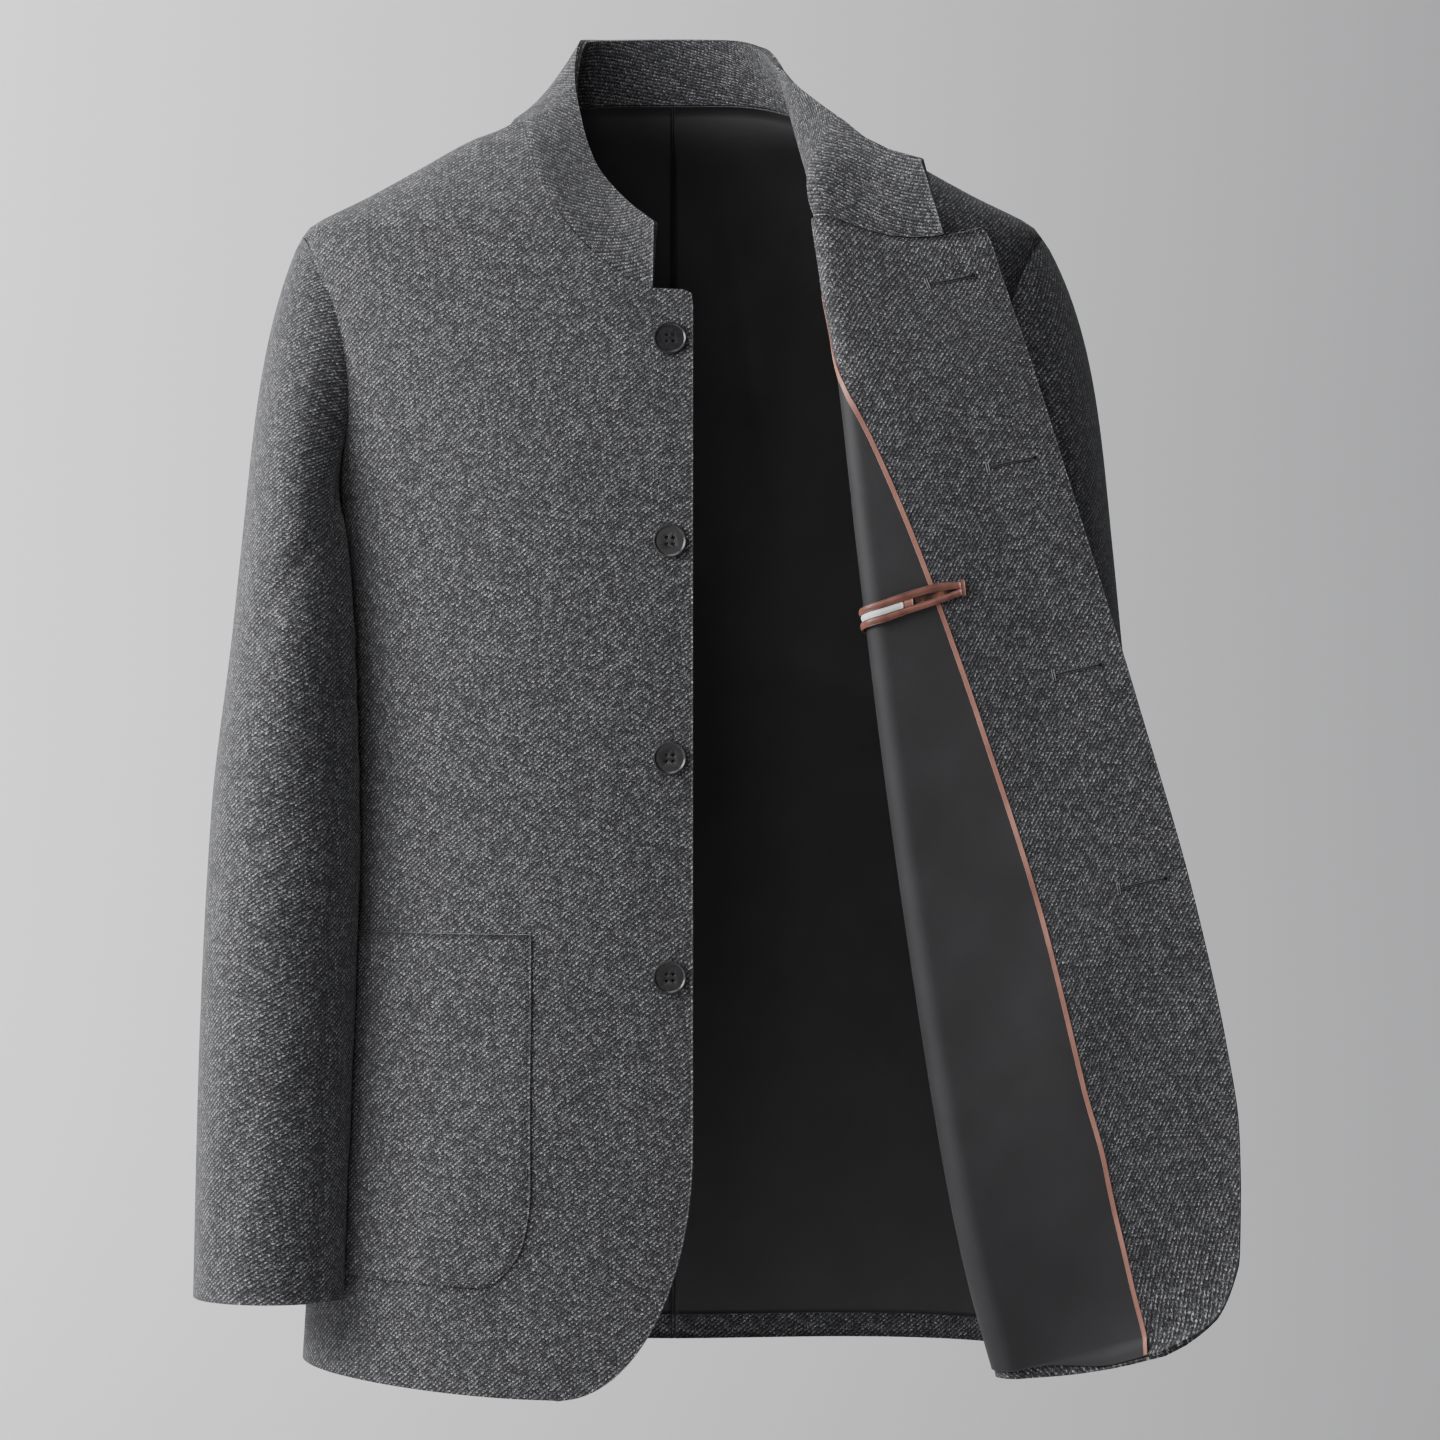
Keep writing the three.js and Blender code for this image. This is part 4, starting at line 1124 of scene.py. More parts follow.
def flippedCloth(grid):
    return {**grid, "u": -grid["u"]}


def stretch(start, end, steps):
    return start + (end - start) * np.asarray(steps)


rollSteps = np.linspace(0, 1, 17)
leftColumns = {"flap": 48, "side": 34, "facing": 40, "underlap": 30, "lining": 96}


def wholeLeft(z, marks):
    turned = stretch(0, marks["roll"], shares(leftColumns["flap"], 0.005)[:-3])
    rolled = stretch(marks["roll"], marks["side"], rollSteps)
    side = stretch(marks["side"], marks["end"], shares(leftColumns["side"], 0.006)[3:])
    return np.concatenate([turned, rolled, side])


def facingLeftPlaces(z, marks):
    seam = seamPlace(z, marks)
    turned = stretch(0, seam, shares(leftColumns["facing"], 0.006))
    steps = np.linspace(0, 1, leftColumns["underlap"])
    under = stretch(seam + facing["past"], marks["side"] + facing["underlap"], steps)
    return np.concatenate([turned, under])


def liningLeftPlaces(z, marks):
    seam = seamPlace(z, marks) + cloth["gap"]
    return stretch(seam, marks["end"], shares(leftColumns["lining"], 0.003))


def pipingLeftPlaces(z, marks):
    seam = seamPlace(z, marks) + cloth["gap"]
    return stretch(seam, seam + facing["piping"], pipingSteps)


# The cells of a grid that are built, without some columns in the rows left out
def keptCells(grid, rowsOut, columnsOut):
    keep = np.ones([count - 1 for count in grid["u"].shape], bool)
    keep[rowsOut[:-1], columnsOut] = False
    return keep


leftRows = frontRowsOf(neckRow, frontHem["low"])
leftGrid = leftGridOf(leftRows, wholeLeft)
firstSide = leftColumns["flap"] + len(rollSteps)
leftKeep = keptCells(leftGrid, np.array(leftRows) > flap["top"] + hair, slice(firstSide))
addCloth(
    "frontLeft", "front_left", leftGrid, 0, cloth["wool"], "folded", woolMaterial,
    keep=leftKeep, sink=seamValley(leftGrid, ["end"]),
)
facingRows = frontRowsOf(flap["top"], frontHem["low"])
facingGrid = flippedCloth(leftGridOf(facingRows, facingLeftPlaces))
facingCount = len(shares(leftColumns["facing"]))
belowTop = np.array(facingRows) <= liningTop + hair
facingKeep = keptCells(facingGrid, belowTop, slice(facingCount - 1, None))
addCloth(
    "facingLeft", "facing_left", facingGrid, facingFrom, -cloth["gap"], "folded", turnedWoolMaterial,
    keep=facingKeep,
)
leftLiningRows = frontRowsOf(liningTop, liningHem["folded"])
leftLiningRows = [z for z in leftLiningRows if z > liningHem["folded"]]
leftLiningRows += [liningHem["folded"], liningHem["foldedLow"]]
leftLiningRows[0] -= cloth["gap"]


# The lining hangs lower towards its seam on the turned part
def slantedHem(grid):
    least = liningHem["leastSlant"]
    share = smoothstep(-grid["u"][-1], liningHem["slantFrom"], liningHem["slantTo"])
    share = least + (1 - least) * share
    for key, weight in (("p", share[:, None]), ("v", share)):
        last = grid[key][-1] - grid[key][-2]
        grid[key][-1] = grid[key][-2] + last * weight
    return grid


leftLiningGrid = slantedHem(leftGridOf(leftLiningRows, liningLeftPlaces))
addCloth(
    "liningFrontLeft", "lining_front_left", leftLiningGrid, liningFrom, -cloth["gap"], "folded",
    liningMaterial,
)
leftPipingGrid = slantedHem(leftGridOf(leftLiningRows, pipingLeftPlaces))
addCloth(
    "pipingLeft", "piping_left", leftPipingGrid, pipingFrom, pipingTo, "folded", pipingMaterial,
)


# The part of a grid's rows between two lengths measured from their first column
def resampled(grid, starts, ends, steps):
    result = {key: [] for key in grid}
    for i in range(len(grid["u"])):
        length = lengthsOf(grid["p"][i])
        at = stretch(starts[i], ends[i], steps)
        for key in ("p", "n"):
            result[key].append(onLine(at, length, grid[key][i]))
        for key in ("u", "v"):
            result[key].append(np.interp(at, length, grid[key][i]))
    result = {key: np.array(value) for key, value in result.items()}
    result["n"] = unit(result["n"])
    return result


def rowLengths(grid):
    return np.linalg.norm(np.diff(grid["p"], axis=1), axis=2).sum(axis=1)


print("left front ready")


# Back panels, drawn on the left and mirrored
def backGrid(rows, steps, creases):
    points, guides = [], []
    for z in rows:
        fromAngle = sideAngle(z, True)
        angles = fromAngle + (math.pi - fromAngle) * np.asarray(steps)
        towardsSide = np.sin(angles) ** 2
        neckFade = smoothstep(z, neck["top"] - neck["fade"], neck["top"])
        hemFade = np.clip((backHem["from"] - z) / (backHem["from"] - backHem["low"]), 0, 1)
        height = z + neck["backRise"] * (1 - towardsSide**3) * neckFade
        height = height + backHem["rise"] * towardsSide * hemFade
        points.append(bodyPoint(angles, height))
        guides.append(bodyNormal(angles, height))
    grid = finishGrid(points, guides)
    fromCentre = grid["u"][:, -1:] - grid["u"]
    grid["u"] = fromCentre
    grid["v"] = laidHeight("back", grid["p"][:, :, 2])
    return moved(grid, creaseDepth(creases, fromCentre, np.array(rows)[:, None]))


backRows = rowHeights(neckRow, backHem["low"], rowStep)
backColumns = {"count": 66, "tight": 0.0022, "from": 0.0005, "width": 0.9988, "next": 0.005}
evenSteps = shares(backColumns["count"], backColumns["tight"])[1:-1]
evenSteps = (evenSteps - evenSteps[0]) / (evenSteps[-1] - evenSteps[0])
evenSteps = np.concatenate([[0, backColumns["next"]], evenSteps[1:-1], [1 - backColumns["next"], 1]])
backSteps = backColumns["from"] + backColumns["width"] * evenSteps
leftBackGrid = backGrid(backRows, backSteps, backCreases)
rightBackGrid = mirrored(leftBackGrid)
leftNeckCreases = table(
    "s0 z0 s1 z1 width depth bow",
    (30, -40, 52, -190, 9, -2.5, 4),
    (58, -70, 70, -260, 12, -2.0, -5),
)
rightNeckCreases = table(
    "s0 z0 s1 z1 width depth bow",
    (22, -45, 36, -150, 10, -1.6, -3),
)
liningRows = [z for z in backRows if z > liningHem["back"]] + [liningHem["back"]]
leftBackLining = backGrid(liningRows, backSteps, backCreases + leftNeckCreases)
rightBackLining = mirrored(backGrid(liningRows, backSteps, backCreases + rightNeckCreases))
for name, node, grid in (
    ("backLeft", "back_left", leftBackGrid),
    ("backRight", "back_right", rightBackGrid),
):
    addCloth(
        name, node, grid, 0, cloth["wool"], "hung", woolMaterial,
        sink=seamValley(grid, ["start", "end"]),
    )
for name, node, grid in (
    ("liningBackLeft", "lining_back_left", leftBackLining),
    ("liningBackRight", "lining_back_right", rightBackLining),
):
    addCloth(name, node, grid, liningFrom, -cloth["gap"], "hung", liningMaterial)
print("back ready")


# Collar band, its seam along the neckline of every panel
collarSteps = {"front": 48, "back": 40, "side": 28, "flap": 30, "roll": 14, "columns": 190, "rows": 17}
collarFit = {"seam": 0.5, "insideTrim": 1.0, "rowTight": 0.012, "sink": 1.3, "sinkReach": 2.2}


def neckSeam():
    flip = np.array([-1, 1, 1])
    places = []
    for z in np.linspace(collarEnd, neckRow, collarSteps["front"]):
        edgeArc, sideArc = frontLimits(z)
        point, normal = frontPoints(z, np.array([edgeArc]), sideArc)
        places.append((point[0] * flip, normal[0] * flip))
    top = backGrid([neckRow, neckRow - 1], np.linspace(0, 1, collarSteps["back"]), [])
    backLine = list(zip(top["p"][0], top["n"][0]))
    places.extend((point * flip, normal * flip) for point, normal in backLine[1:])
    places.extend(backLine[-2::-1])
    for z in np.linspace(neckRow, flap["top"], collarSteps["side"])[1:]:
        _, sideArc = frontLimits(z)
        startArc, _ = sideStart(z)
        point, normal = frontPoints(z, np.array([startArc]), sideArc)
        places.append((point[0], normal[0]))
    flapShares = np.linspace(0, collarOnFlap, collarSteps["flap"])[1:]
    rollShares = np.linspace(0, 1, collarSteps["roll"])[1:]
    points, normals = foldedRow(flap["top"], flapShares, rollShares, [0, 1])
    onFlap = len(flapShares)
    places.extend(zip(points[onFlap:-2], normals[onFlap:-2]))
    places.extend(zip(points[:onFlap], normals[:onFlap]))
    return [np.array(column) for column in zip(*places)]


def collarBand(trim=0.0):
    points, normals = neckSeam()
    share = lengthsOf(points)
    share /= share[-1]
    even = np.linspace(0, 1, collarSteps["columns"])
    points = onLine(even, share, points)
    normals = unit(onLine(even, share, normals))

    def columnsOf(*names):
        return np.stack([curve(collarSections, "share", name, even) for name in names], axis=1)

    top = columnsOf("x", "y", "z")
    lift = columnsOf("lift") * (cloth["wool"] + cloth["gap"])
    base = points + normals * lift
    middle = (base + top) / 2 + columnsOf("bx", "by", "bz")
    start = base + unit(middle - base) * (collarFit["seam"] + trim)
    control = 2 * middle - (start + top) / 2
    rows = []
    for t in shares(collarSteps["rows"], collarFit["rowTight"]):
        rows.append((1 - t) ** 2 * start + 2 * t * (1 - t) * control + t * t * top)
    grid = finishGrid(rows, np.repeat(normals[None], len(rows), axis=0))
    return evenlyLaid(grid, 0)


collarCloth = flippedCloth(collarBand())
addCloth(
    "collarOuter", "collar", collarCloth, 0, cloth["wool"], "hung", collarWoolMaterial,
    sink=seamValley(collarCloth, ["top"], collarFit["sink"], collarFit["sinkReach"]),
)
collarInside = collarBand(collarFit["insideTrim"])
addCloth(
    "collarFacing", "collar_facing", collarInside, facingFrom, -cloth["gap"], "hung", collarFacingMaterial,
)
print("collar ready")


# Sleeves: a cap from the armhole to the first ring, then level rings down to the cuff
def clearOfBody(points):
    y = np.abs(points[..., 1])
    z = points[..., 2]
    depth = np.where(points[..., 1] > 0, profile("back", z), profile("front", z)) + sleeve["clear"]
    width = profile("halfWidth", z) + sleeve["clear"]
    share = np.minimum(1, y / depth)
    least = width * (1 - share ** squareness) ** (1 / squareness)
    result = points.copy()
    result[..., 0] = np.maximum(points[..., 0], least)
    return result


def sleeveRing(z, turns, hang):
    outer = curve(sleeveSections, "z", "outer", z)
    inner = curve(sleeveSections, "z", "inner", z)
    half = (outer - inner) / 2
    back = hang["setBack"] * smoothstep(-z, -sleeve["capEnd"], -sleeve["setBackBy"])
    y = curve(sleeveSections, "z", "y", z) + back - curve(sleeveSections, "z", "depth", z) * np.sin(turns)
    x = inner + half - half * np.cos(turns) + hang["swing"]
    return clearOfBody(np.stack([x, y, np.full(len(turns), float(z))], axis=1))


sleeveSteps = {"capFirst": 0.012, "capSecond": 0.045, "cap": 26, "rings": 96, "turn": 6, "tight": 0.004}
capSteps = np.linspace(sleeveSteps["capSecond"], 1, sleeveSteps["cap"])
capSteps = np.concatenate([[0, sleeveSteps["capFirst"]], capSteps])


def sleeveGrid(turnsDegrees, hang):
    turns = np.radians(turnsDegrees)
    heights = armhole["under"] + (armhole["tip"] - armhole["under"]) * (1 - np.cos(turns)) / 2
    isBack = np.sin(turns) < 0
    angles = np.array([sideAngle(z, back) for z, back in zip(heights, isBack)])
    normal = bodyNormal(angles, heights)
    underarm = np.maximum(0, np.cos(turns))
    stand = sleeve["stand"] + 2 * cloth["wool"] * underarm
    start = bodyPoint(angles, heights) + normal * stand[:, None]
    end = sleeveRing(sleeve["capEnd"], turns, hang)
    below = sleeveRing(sleeve["belowCap"], turns, hang)
    length = np.linalg.norm(end - start, axis=1)[:, None]
    drop = sleeve["frontDrop"] + (sleeve["topDrop"] - sleeve["frontDrop"]) * np.abs(np.cos(turns))
    lead = np.stack([hang["out"] * (1 - underarm), -sleeve["forward"] * np.sin(turns), -drop], axis=1)
    lead = start + unit(lead) * length / 3
    trail = end + unit(end - below) * length / 3
    rows = []
    for t in capSteps:
        s = 1 - t
        points = s**3 * start + 3 * s * s * t * lead + 3 * s * t * t * trail + t**3 * end
        under = points[:, 2] < armhole["under"]
        rows.append(np.where(under[:, None], clearOfBody(points), points))
    for z in np.linspace(sleeve["capEnd"], sleeve["cuff"], sleeveSteps["rings"])[1:]:
        rows.append(sleeveRing(z, turns, hang))
    rows = np.array(rows)
    allRound = np.radians(np.arange(0, 360, sleeveSteps["turn"]))
    heights = np.clip(rows[:, :, 2].mean(axis=1), sleeveSections[-1]["z"], sleeveSections[0]["z"])
    middle = np.stack([sleeveRing(z, allRound, hang).mean(axis=0) for z in heights])
    guide = rows - middle[:, None, :]
    guide[..., 2] = 0
    grid = evenlyLaid(finishGrid(rows, guide), len(capSteps) - 1)
    allTurns = np.broadcast_to(turnsDegrees, rows.shape[:2])
    crease = creaseDepth(sleeveCreases, allTurns, rows[:, :, 2])
    return moved(grid, crease)


sleeveCreases = table(
    "s0 z0 s1 z1 width depth bow",
    (60, -250, 130, -330, 9, -2.0, 3),
    (75, -430, 150, -455, 10, -1.8, 4),
    (80, -480, 140, -470, 9, 1.3, -3),
    (100, -560, 125, -690, 12, -1.4, 3),
    (230, -300, 270, -420, 14, -2.0, -4),
    (215, -520, 285, -545, 12, 1.6, 3),
)


# Turns round a sleeve with one more column past each seam, so that its normals run on
def withPads(low, high, count):
    steps = shares(count, sleeveSteps["tight"]) * (high - low) + low
    return np.concatenate([[low - sleeve["pad"]], steps, [high + sleeve["pad"]]])


def innerColumns(grid):
    return {key: value[:, 1:-1] for key, value in grid.items()}


for side, hang in sleeveHang.items():
    for label, low, high, count in (
        ("Top", sleeve["frontSeam"], sleeve["backSeam"], 74),
        ("Under", sleeve["backSeam"], sleeve["frontSeam"] + 360, 62),
    ):
        turns = withPads(low + sleeve["seamTurn"], high - sleeve["seamTurn"], count)
        grid = innerColumns(sleeveGrid(turns, hang))
        if side == "Right":
            grid = mirrored(grid)
        addCloth(
            f"sleeve{label}{side}", f"sleeve_{label.lower()}_{side.lower()}", grid, 0,
            cloth["wool"], "hung", woolMaterial, sink=seamValley(grid, ["start", "end", "top"]),
        )
print("sleeves ready")


# Patch pockets over the front panels, with rounded lower corners
pocket = {
    "top": -489,
    "low": -693,
    "cornerWidth": 26,
    "cornerHeight": 60,
    "share": 0.88,
    "sideShare": 0.75,
    "sink": 0.9,
    "sinkReach": 1.6,
}


def pocketRows():
    corner = pocket["low"] + pocket["cornerHeight"]
    rows = rowHeights(pocket["top"], corner, rowStep)
    drops = np.sin(np.radians(np.arange(6, 90.1, 6))) * pocket["cornerHeight"]
    return rows + [float(corner - drop) for drop in drops]


def pocketInsets(rows):
    corner = pocket["low"] + pocket["cornerHeight"]
    drop = np.clip((corner - np.array(rows)) / pocket["cornerHeight"], 0, 1)
    return pocket["cornerWidth"] * (1 - np.sqrt(1 - drop**2))


def pocketEnd(edgeArc, sideArc):
    seam = facingSeamArc(edgeArc, sideArc)
    return seam + pocket["share"] * (sideArc - seam)


def addPocket(name, node, grid, held, panel):
    low = cloth["wool"] + cloth["gap"]
    sink = seamValley(grid, ["start", "end", "top", "low"], pocket["sink"], pocket["sinkReach"])
    addCloth(name, node, grid, low, low + cloth["wool"], held, woolMaterial, sink=sink, rests=(panel,))


pocketHeights = pocketRows()
insets = pocketInsets(pocketHeights)
under = flatFrontGrid(pocketHeights, betweenArcs(facingSeamArc, pocketEnd, np.linspace(0, 1, 90)))
rightPocketGrid = resampled(under, insets, rowLengths(under) - insets, shares(44, 0.008))
addPocket("pocketRight", "pocket_right", rightPocketGrid, "hung", "frontRight")
insetAt = dict(zip(pocketHeights, insets))


def leftPocketPlaces(z, marks):
    end = stretch(marks["side"], marks["end"], pocket["sideShare"])
    return stretch(seamPlace(z, marks) + insetAt[z], end - insetAt[z], shares(64, 0.006))


leftPocketGrid = leftGridOf(pocketHeights, leftPocketPlaces)
addPocket("pocketLeft", "pocket_left", leftPocketGrid, "folded", "frontLeft")
print("pockets ready")


# Places on the turned part, by the reach from the roll and the height of the row
def turnedPoints(reach, z):
    points, guides = np.zeros((*reach.shape, 3)), np.zeros((*reach.shape, 3))
    for index in np.ndindex(reach.shape):
        line, normals, length, marks = leftLine(z[index])
        at = marks["roll"] - reach[index]
        points[index] = onLine(at, length, line)
        guides[index] = onLine(at, length, normals)
    return points, guides


def turnedPatch(reach, z):
    reach, z = np.broadcast_arrays(np.asarray(reach, float), np.asarray(z, float))
    grid = finishGrid(*turnedPoints(reach, z))
    grid["u"] = -reach
    grid["v"] = laidHeight("front", z)
    return moved(grid, turnedCrease(reach, z))


turnedTries = 8


# The reach and the row of a point that is seen at x and z, closer with each try
def turnedPlace(x, z):
    row = float(z)
    for _ in range(turnedTries):
        line, _, length, marks = leftLine(row)
        turned = length <= marks["roll"]
        at = np.interp(-x, -line[turned, 0], length[turned])
        row += z - np.interp(at, length, line[:, 2])
    return marks["roll"] - at, row


# Jetted pocket inside the turned back front: two lips, a bridge, an end bar and a tape.
# Upper and lower are the outer edges of the lips, gap is the mouth between them.
welt = {"row": -302.5, "from": -19, "to": 47.5, "inside": 0.25, "bulge": 0.55, "slant": 0.32}
weltSections = table(
    "reach upper lower gap",
    (-19, 5.6, -6.2, 2.0),
    (-10, 5.8, -6.2, 2.1),
    (4, 6.0, -6.2, 2.2),
    (15, 6.3, -5.8, 2.1),
    (28, 6.4, -5.5, 2.2),
    (38, 5.6, -4.9, 1.5),
    (47.5, 3.7, -3.7, 0.15),
)
tapeHalf = 1.75
endBarHalf = 4.6


def edgeOfLip(column, reach):
    return curve(weltSections, "reach", column, reach)


def insideGap(reach):
    return edgeOfLip("gap", reach) - welt["inside"]


# The upper and the lower edge of each kind of piece
weltEdges = {
    "upperLip": lambda reach: (edgeOfLip("upper", reach), edgeOfLip("gap", reach)),
    "lowerLip": lambda reach: (-edgeOfLip("gap", reach), edgeOfLip("lower", reach)),
    "inside": lambda reach: (insideGap(reach), -insideGap(reach)),
    "tape": lambda reach: (np.minimum(tapeHalf, insideGap(reach)), -np.minimum(tapeHalf, insideGap(reach))),
    "endBar": lambda reach: (endBarHalf, -endBarHalf),
}
weltPieces = table(
    "name edges start end columns rows low high material",
    ("weltUpperLip", "upperLip", welt["from"], welt["to"], 56, 9, -3.9, -2.9, copperMaterial),
    ("weltLowerLip", "lowerLip", welt["from"], welt["to"], 56, 9, -3.9, -2.9, copperMaterial),
    ("weltMouth", "inside", 19, 46.5, 30, 5, -2.5, -2.2, mouthShadeAndHighlightMaterial),
    # the bridge takes the lighter piping satin as a painted highlight, brighter than the copper of the lips
    ("weltBridge", "inside", 12.8, 18.5, 9, 7, -3.9, -2.9, pipingMaterial),
    ("weltTape", "tape", -11.5, 12.3, 24, 7, -3.4, -2.9, whiteMaterial),
    ("weltEndBar", "endBar", 48, 49.8, 5, 16, -3.9, -2.9, copperMaterial),
)
for piece in weltPieces:
    reach = np.linspace(piece["start"], piece["end"], piece["columns"])[None]
    reach = np.repeat(reach, piece["rows"], axis=0)
    down = np.linspace(0, 1, piece["rows"])[:, None]
    upper, lower = weltEdges[piece["edges"]](reach)
    offset = upper * (1 - down) + lower * down
    slant = welt["slant"] * np.minimum(reach, 0)
    grid = turnedPatch(reach, welt["row"] + offset + slant)
    across = np.linspace(-1, 1, piece["rows"])[:, None] * np.ones((1, piece["columns"]))
    addCloth(
        piece["name"], "inner_pocket_welt", moved(grid, -welt["bulge"] * (1 - across**2)),
        piece["low"], piece["high"], "folded", piece["material"], rests=("liningFrontLeft",),
    )
print("welt ready")


# Keyhole buttonholes of the left front, seen on its facing. Eye and tail are x and z.
buttonholes = [
    {"eye": (176.2, -106.6), "tail": (150.2, -111.8)},
    {"eye": (210.9, -213.6), "tail": (184.5, -219.2)},
    {"eye": (248.4, -333.2), "tail": (222.4, -339.0)},
    {"eye": (286.0, -456.3), "tail": (260.0, -462.1)},
]
keyhole = {
    "eyeRadius": 1.45,
    "eyeFrom": 205,
    "eyeTo": 515,
    "eyeSteps": 21,
    "half": 0.56,
    "start": 2.2,
    "sideSteps": 20,
    "thread": 0.3,
    "tack": 3.6,
    "tackPlaces": (0.3, 1.6),
    "tackThread": 0.32,
    "tackSteps": 9,
    "level": 2.4,
    "slitShare": 0.9,
    "slitRise": 0.05,
    "sunk": 0.35,
    "near": 2,
}


threadSide = [0.0, -1.0, 0.05]


# A round thread along a path of points
def threadMesh(bm, path, radius, closed, sides=8):
    path = np.asarray(path, float)
    count = len(path)
    ahead = np.roll(path, -1, axis=0)
    behind = np.roll(path, 1, axis=0)
    if not closed:
        ahead[-1], behind[0] = path[-1], path[0]
    forward = unit(ahead - behind)
    first = unit(np.cross(forward, threadSide))
    second = np.cross(forward, first)
    rings = []
    for k in range(count):
        ring = []
        for s in range(sides):
            angle = 2 * math.pi * s / sides
            spoke = math.cos(angle) * first[k] + math.sin(angle) * second[k]
            ring.append(bm.verts.new((path[k] + spoke * radius) * mm))
        rings.append(ring)
    faces = []
    for k in range(count if closed else count - 1):
        a, b = rings[k], rings[(k + 1) % count]
        for s in range(sides):
            e = (s + 1) % sides
            faces.append(bm.faces.new((a[s], a[e], b[e], b[s])))
    if not closed:
        faces.append(bm.faces.new(rings[0][::-1]))
        faces.append(bm.faces.new(rings[-1]))
    return faces


def outlineOfKeyhole(length):
    turns = np.radians(np.linspace(keyhole["eyeFrom"], keyhole["eyeTo"], keyhole["eyeSteps"]))
    eye = [(keyhole["eyeRadius"] * math.cos(a), keyhole["eyeRadius"] * math.sin(a)) for a in turns]
    sides = np.linspace(keyhole["start"], length, keyhole["sideSteps"])
    back = [(-x, keyhole["half"]) for x in sides]
    front = [(-x, -keyhole["half"]) for x in sides[::-1]]
    return np.array(eye + back + front)


def addThreadObject(name, bm, materials, facesByMaterial):
    bmesh.ops.recalc_face_normals(bm, faces=bm.faces)
    mesh = bpy.data.meshes.new(name)
    for slotIndex, faces in enumerate(facesByMaterial):
        for item in faces:
            item.material_index = slotIndex
            item.smooth = True
    bm.to_mesh(mesh)
    bm.free()
    for material in materials:
        mesh.materials.append(material)
    obj = addObject(name, mesh)
    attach(obj, "root")


def addButtonhole(name, eye, tail):
    eyeReach, eyeRow = turnedPlace(*eye)
    tailReach, tailRow = turnedPlace(*tail)
    along = np.array([eyeReach - tailReach, eyeRow - tailRow])
    length = float(np.hypot(*along))
    along /= length
    across = np.array([-along[1], along[0]])

    def onFacing(points, lift):
        points = np.atleast_2d(points)
        reach = eyeReach + points[:, 0] * along[0] + points[:, 1] * across[0]
        row = eyeRow + points[:, 0] * along[1] + points[:, 1] * across[1]
        surface, _ = turnedPoints(reach, row)
        return surface + (turnedCrease(reach, row) - lift)[:, None] * baseNormal

    middle = (np.array(eye) + np.array(tail)) / 2
    place = turnedPlace(*middle)
    near = keyhole["near"]
    around = turnedPatch(
        place[0] + near * np.array([[-1, 1], [-1, 1]]), place[1] + near * np.array([[1, 1], [-1, -1]])
    )
    baseNormal = unit(around["n"].mean(axis=(0, 1)))
    bm = bmesh.new()
    outline = outlineOfKeyhole(length)
    level = keyhole["level"]
    rim = threadMesh(bm, onFacing(outline, level), keyhole["thread"], True)
    bar = []
    tackYs = np.linspace(-keyhole["tack"], keyhole["tack"], keyhole["tackSteps"])
    for beyond in keyhole["tackPlaces"]:
        tack = [(-length - beyond, y) for y in tackYs]
        bar += threadMesh(bm, onFacing(tack, level), keyhole["tackThread"], False)
    # The slit is a sunk sheet in near-black, painted shade inside the cut
    slitOutline = outline * [1, keyhole["slitShare"]]
    inside = onFacing(slitOutline, level - keyhole["slitRise"])
    deep = onFacing(slitOutline, level - keyhole["sunk"])
    top = [bm.verts.new(p * mm) for p in inside]
    low = [bm.verts.new(p * mm) for p in deep]
    slitShade = [bm.faces.new(top), bm.faces.new(low[::-1])]
    for k in range(len(top)):
        e = (k + 1) % len(top)
        slitShade.append(bm.faces.new((top[k], low[k], low[e], top[e])))
    addThreadObject(name, bm, [threadMaterial, slitShadeMaterial, tackMaterial], [rim, slitShade, bar])


for i, hole in enumerate(buttonholes):
    addButtonhole(f"buttonhole{i + 1}", hole["eye"], hole["tail"])
print("buttonholes ready")

# Four-hole button, modelled once and copied
button = {
    "radius": 9.7,
    "thickness": 3,
    "hole": 0.95,
    "spacing": 1.9,
    "dish": 8.8,
    "dishDepth": 0.6,
    "dishSlope": 0.9,
    "round": 0.4,
    "sides": 64,
    "holeSides": 20,
    "holeDepth": 8,
    "roundSteps": 5,
    "roundFrom": 35,
    "smoothTo": 24,
}
buttonHeights = [-144, -262, -387, -513]


def cutWith(target, cutter):
    modifier = target.modifiers.new("cut", "BOOLEAN")
    modifier.operation = "DIFFERENCE"
    modifier.object = cutter
    modifier.solver = "EXACT"
    bpy.context.view_layer.objects.active = target
    bpy.ops.object.modifier_apply(modifier=modifier.name)
    bpy.data.objects.remove(cutter)


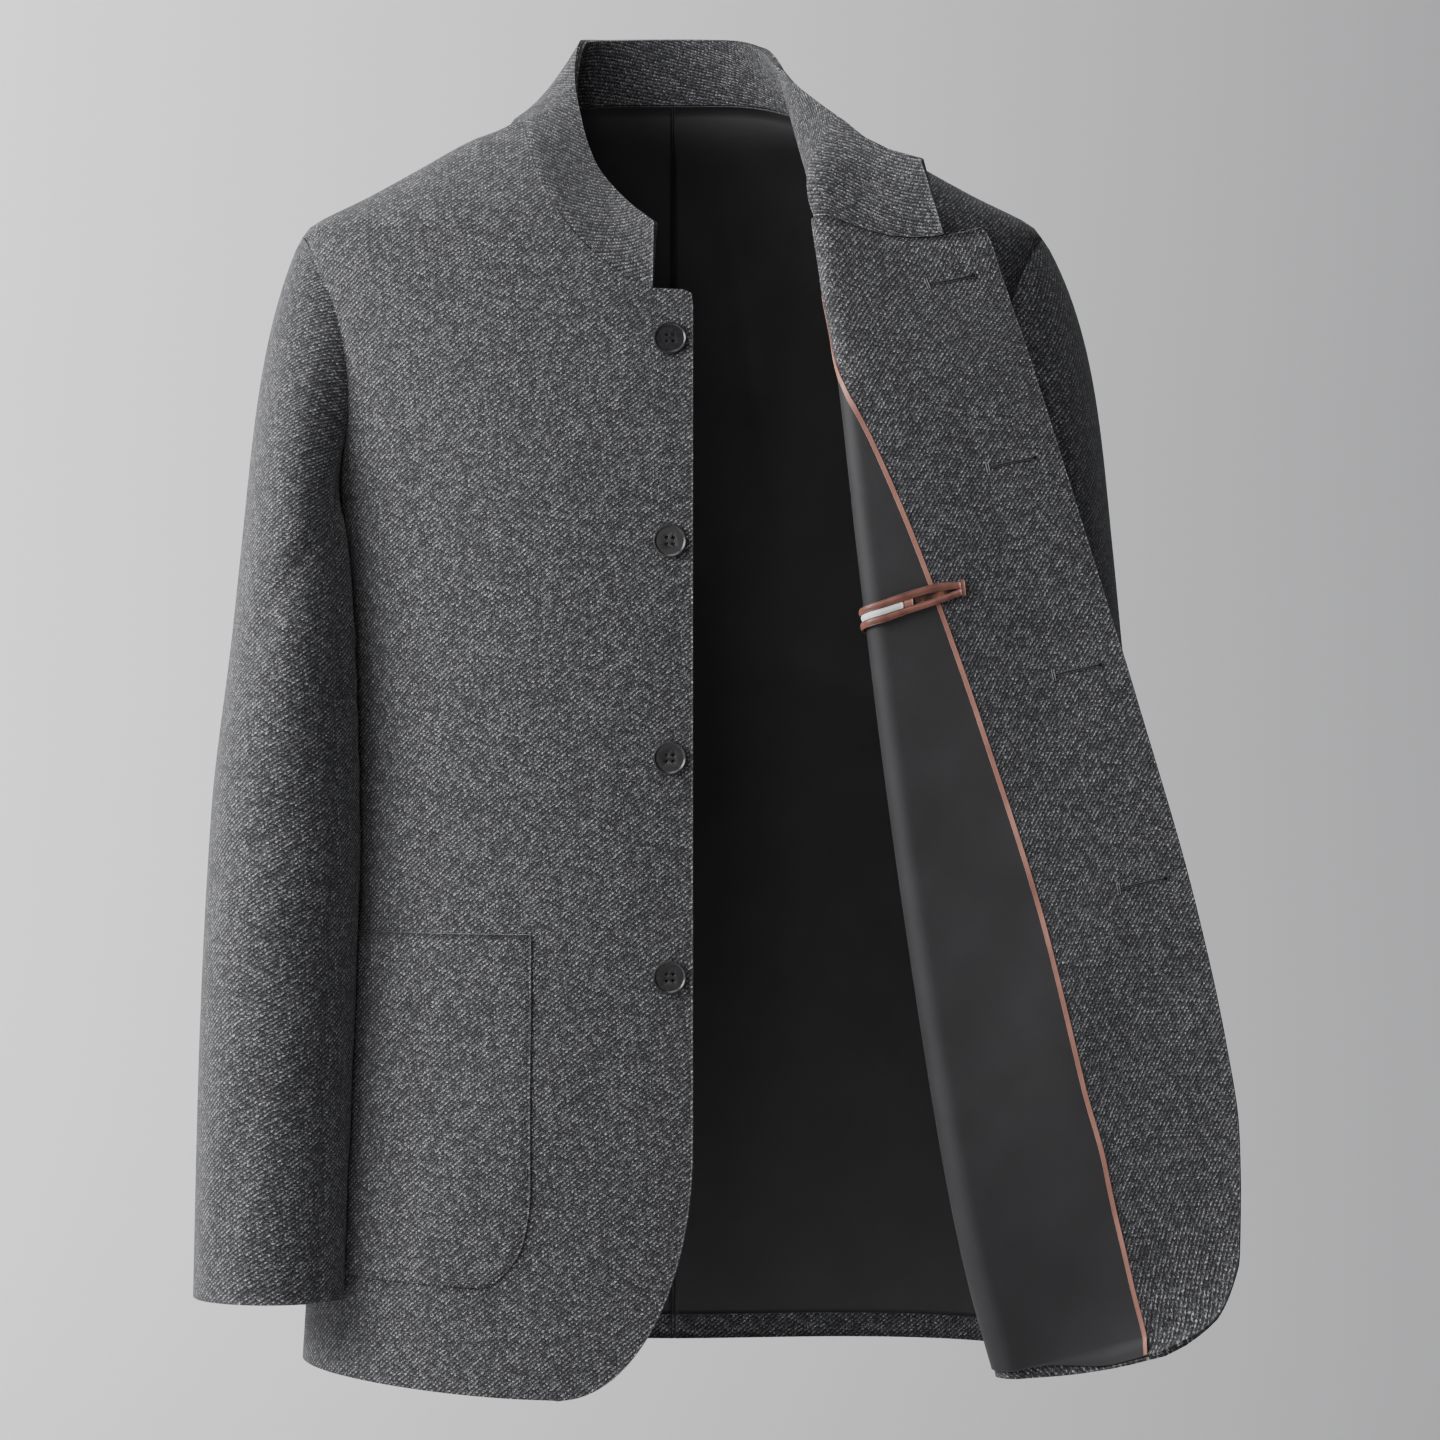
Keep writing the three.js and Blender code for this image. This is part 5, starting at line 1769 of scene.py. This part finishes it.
def makeButton():
    bpy.ops.object.select_all(action="DESELECT")
    bpy.ops.mesh.primitive_cylinder_add(
        vertices=button["sides"], radius=button["radius"] * mm, depth=button["thickness"] * mm,
        location=(0, 0, button["thickness"] / 2 * mm),
    )
    disc = bpy.context.object
    depth = button["dishDepth"]
    bpy.ops.mesh.primitive_cone_add(
        vertices=button["sides"], radius1=(button["dish"] - button["dishSlope"]) * mm,
        radius2=(button["dish"] + button["dishSlope"]) * mm, depth=2 * depth * mm,
        location=(0, 0, button["thickness"] * mm),
    )
    cutWith(disc, bpy.context.object)
    for x in (-1, 1):
        for y in (-1, 1):
            bpy.ops.mesh.primitive_cylinder_add(
                vertices=button["holeSides"], radius=button["hole"] * mm, depth=button["holeDepth"] * mm,
                location=(x * button["spacing"] * mm, y * button["spacing"] * mm, 0),
            )
            cutWith(disc, bpy.context.object)
    disc.select_set(True)
    bpy.context.view_layer.objects.active = disc
    bevel = disc.modifiers.new("round", "BEVEL")
    bevel.width = button["round"] * mm
    bevel.segments = button["roundSteps"]
    bevel.limit_method = "ANGLE"
    bevel.angle_limit = rad(button["roundFrom"])
    bpy.ops.object.modifier_apply(modifier=bevel.name)
    bpy.ops.object.shade_smooth_by_angle(angle=rad(button["smoothTo"]))
    disc.name = "button"
    return disc


buttonLook = makeFine("button", "button", (0.007, 0.007, 0.008, 1), (0.013, 0.013, 0.014, 1), 0.3, 400)
firstButton = makeButton()
firstButton.data.materials.clear()
firstButton.data.materials.append(buttonLook)
shapeOfButton = firstButton.data.copy()
bpy.data.objects.remove(firstButton)
for i, z in enumerate(buttonHeights):
    mesh = shapeOfButton.copy()
    normal = Vector(bodyNormal(np.array(0.0), np.array(float(z))))
    place = Vector(bodyPoint(np.array(0.0), np.array(float(z)))) + normal * (cloth["wool"] + cloth["gap"])
    turn = Vector((0, 0, 1)).rotation_difference(normal).to_matrix().to_4x4()
    mesh.transform(Matrix.Translation(place * mm) @ turn)
    obj = addObject(f"button{i + 1}", mesh)
    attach(obj, "root")
    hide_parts(f"button_{i + 1}")
print("buttons ready")


# Cloth sheets, each with the cut it was laid out from
weltNames = [piece["name"] for piece in weltPieces]
for name, entry in made.items():
    if name in ("pipingLeft", "pipingRight", *weltNames):
        continue
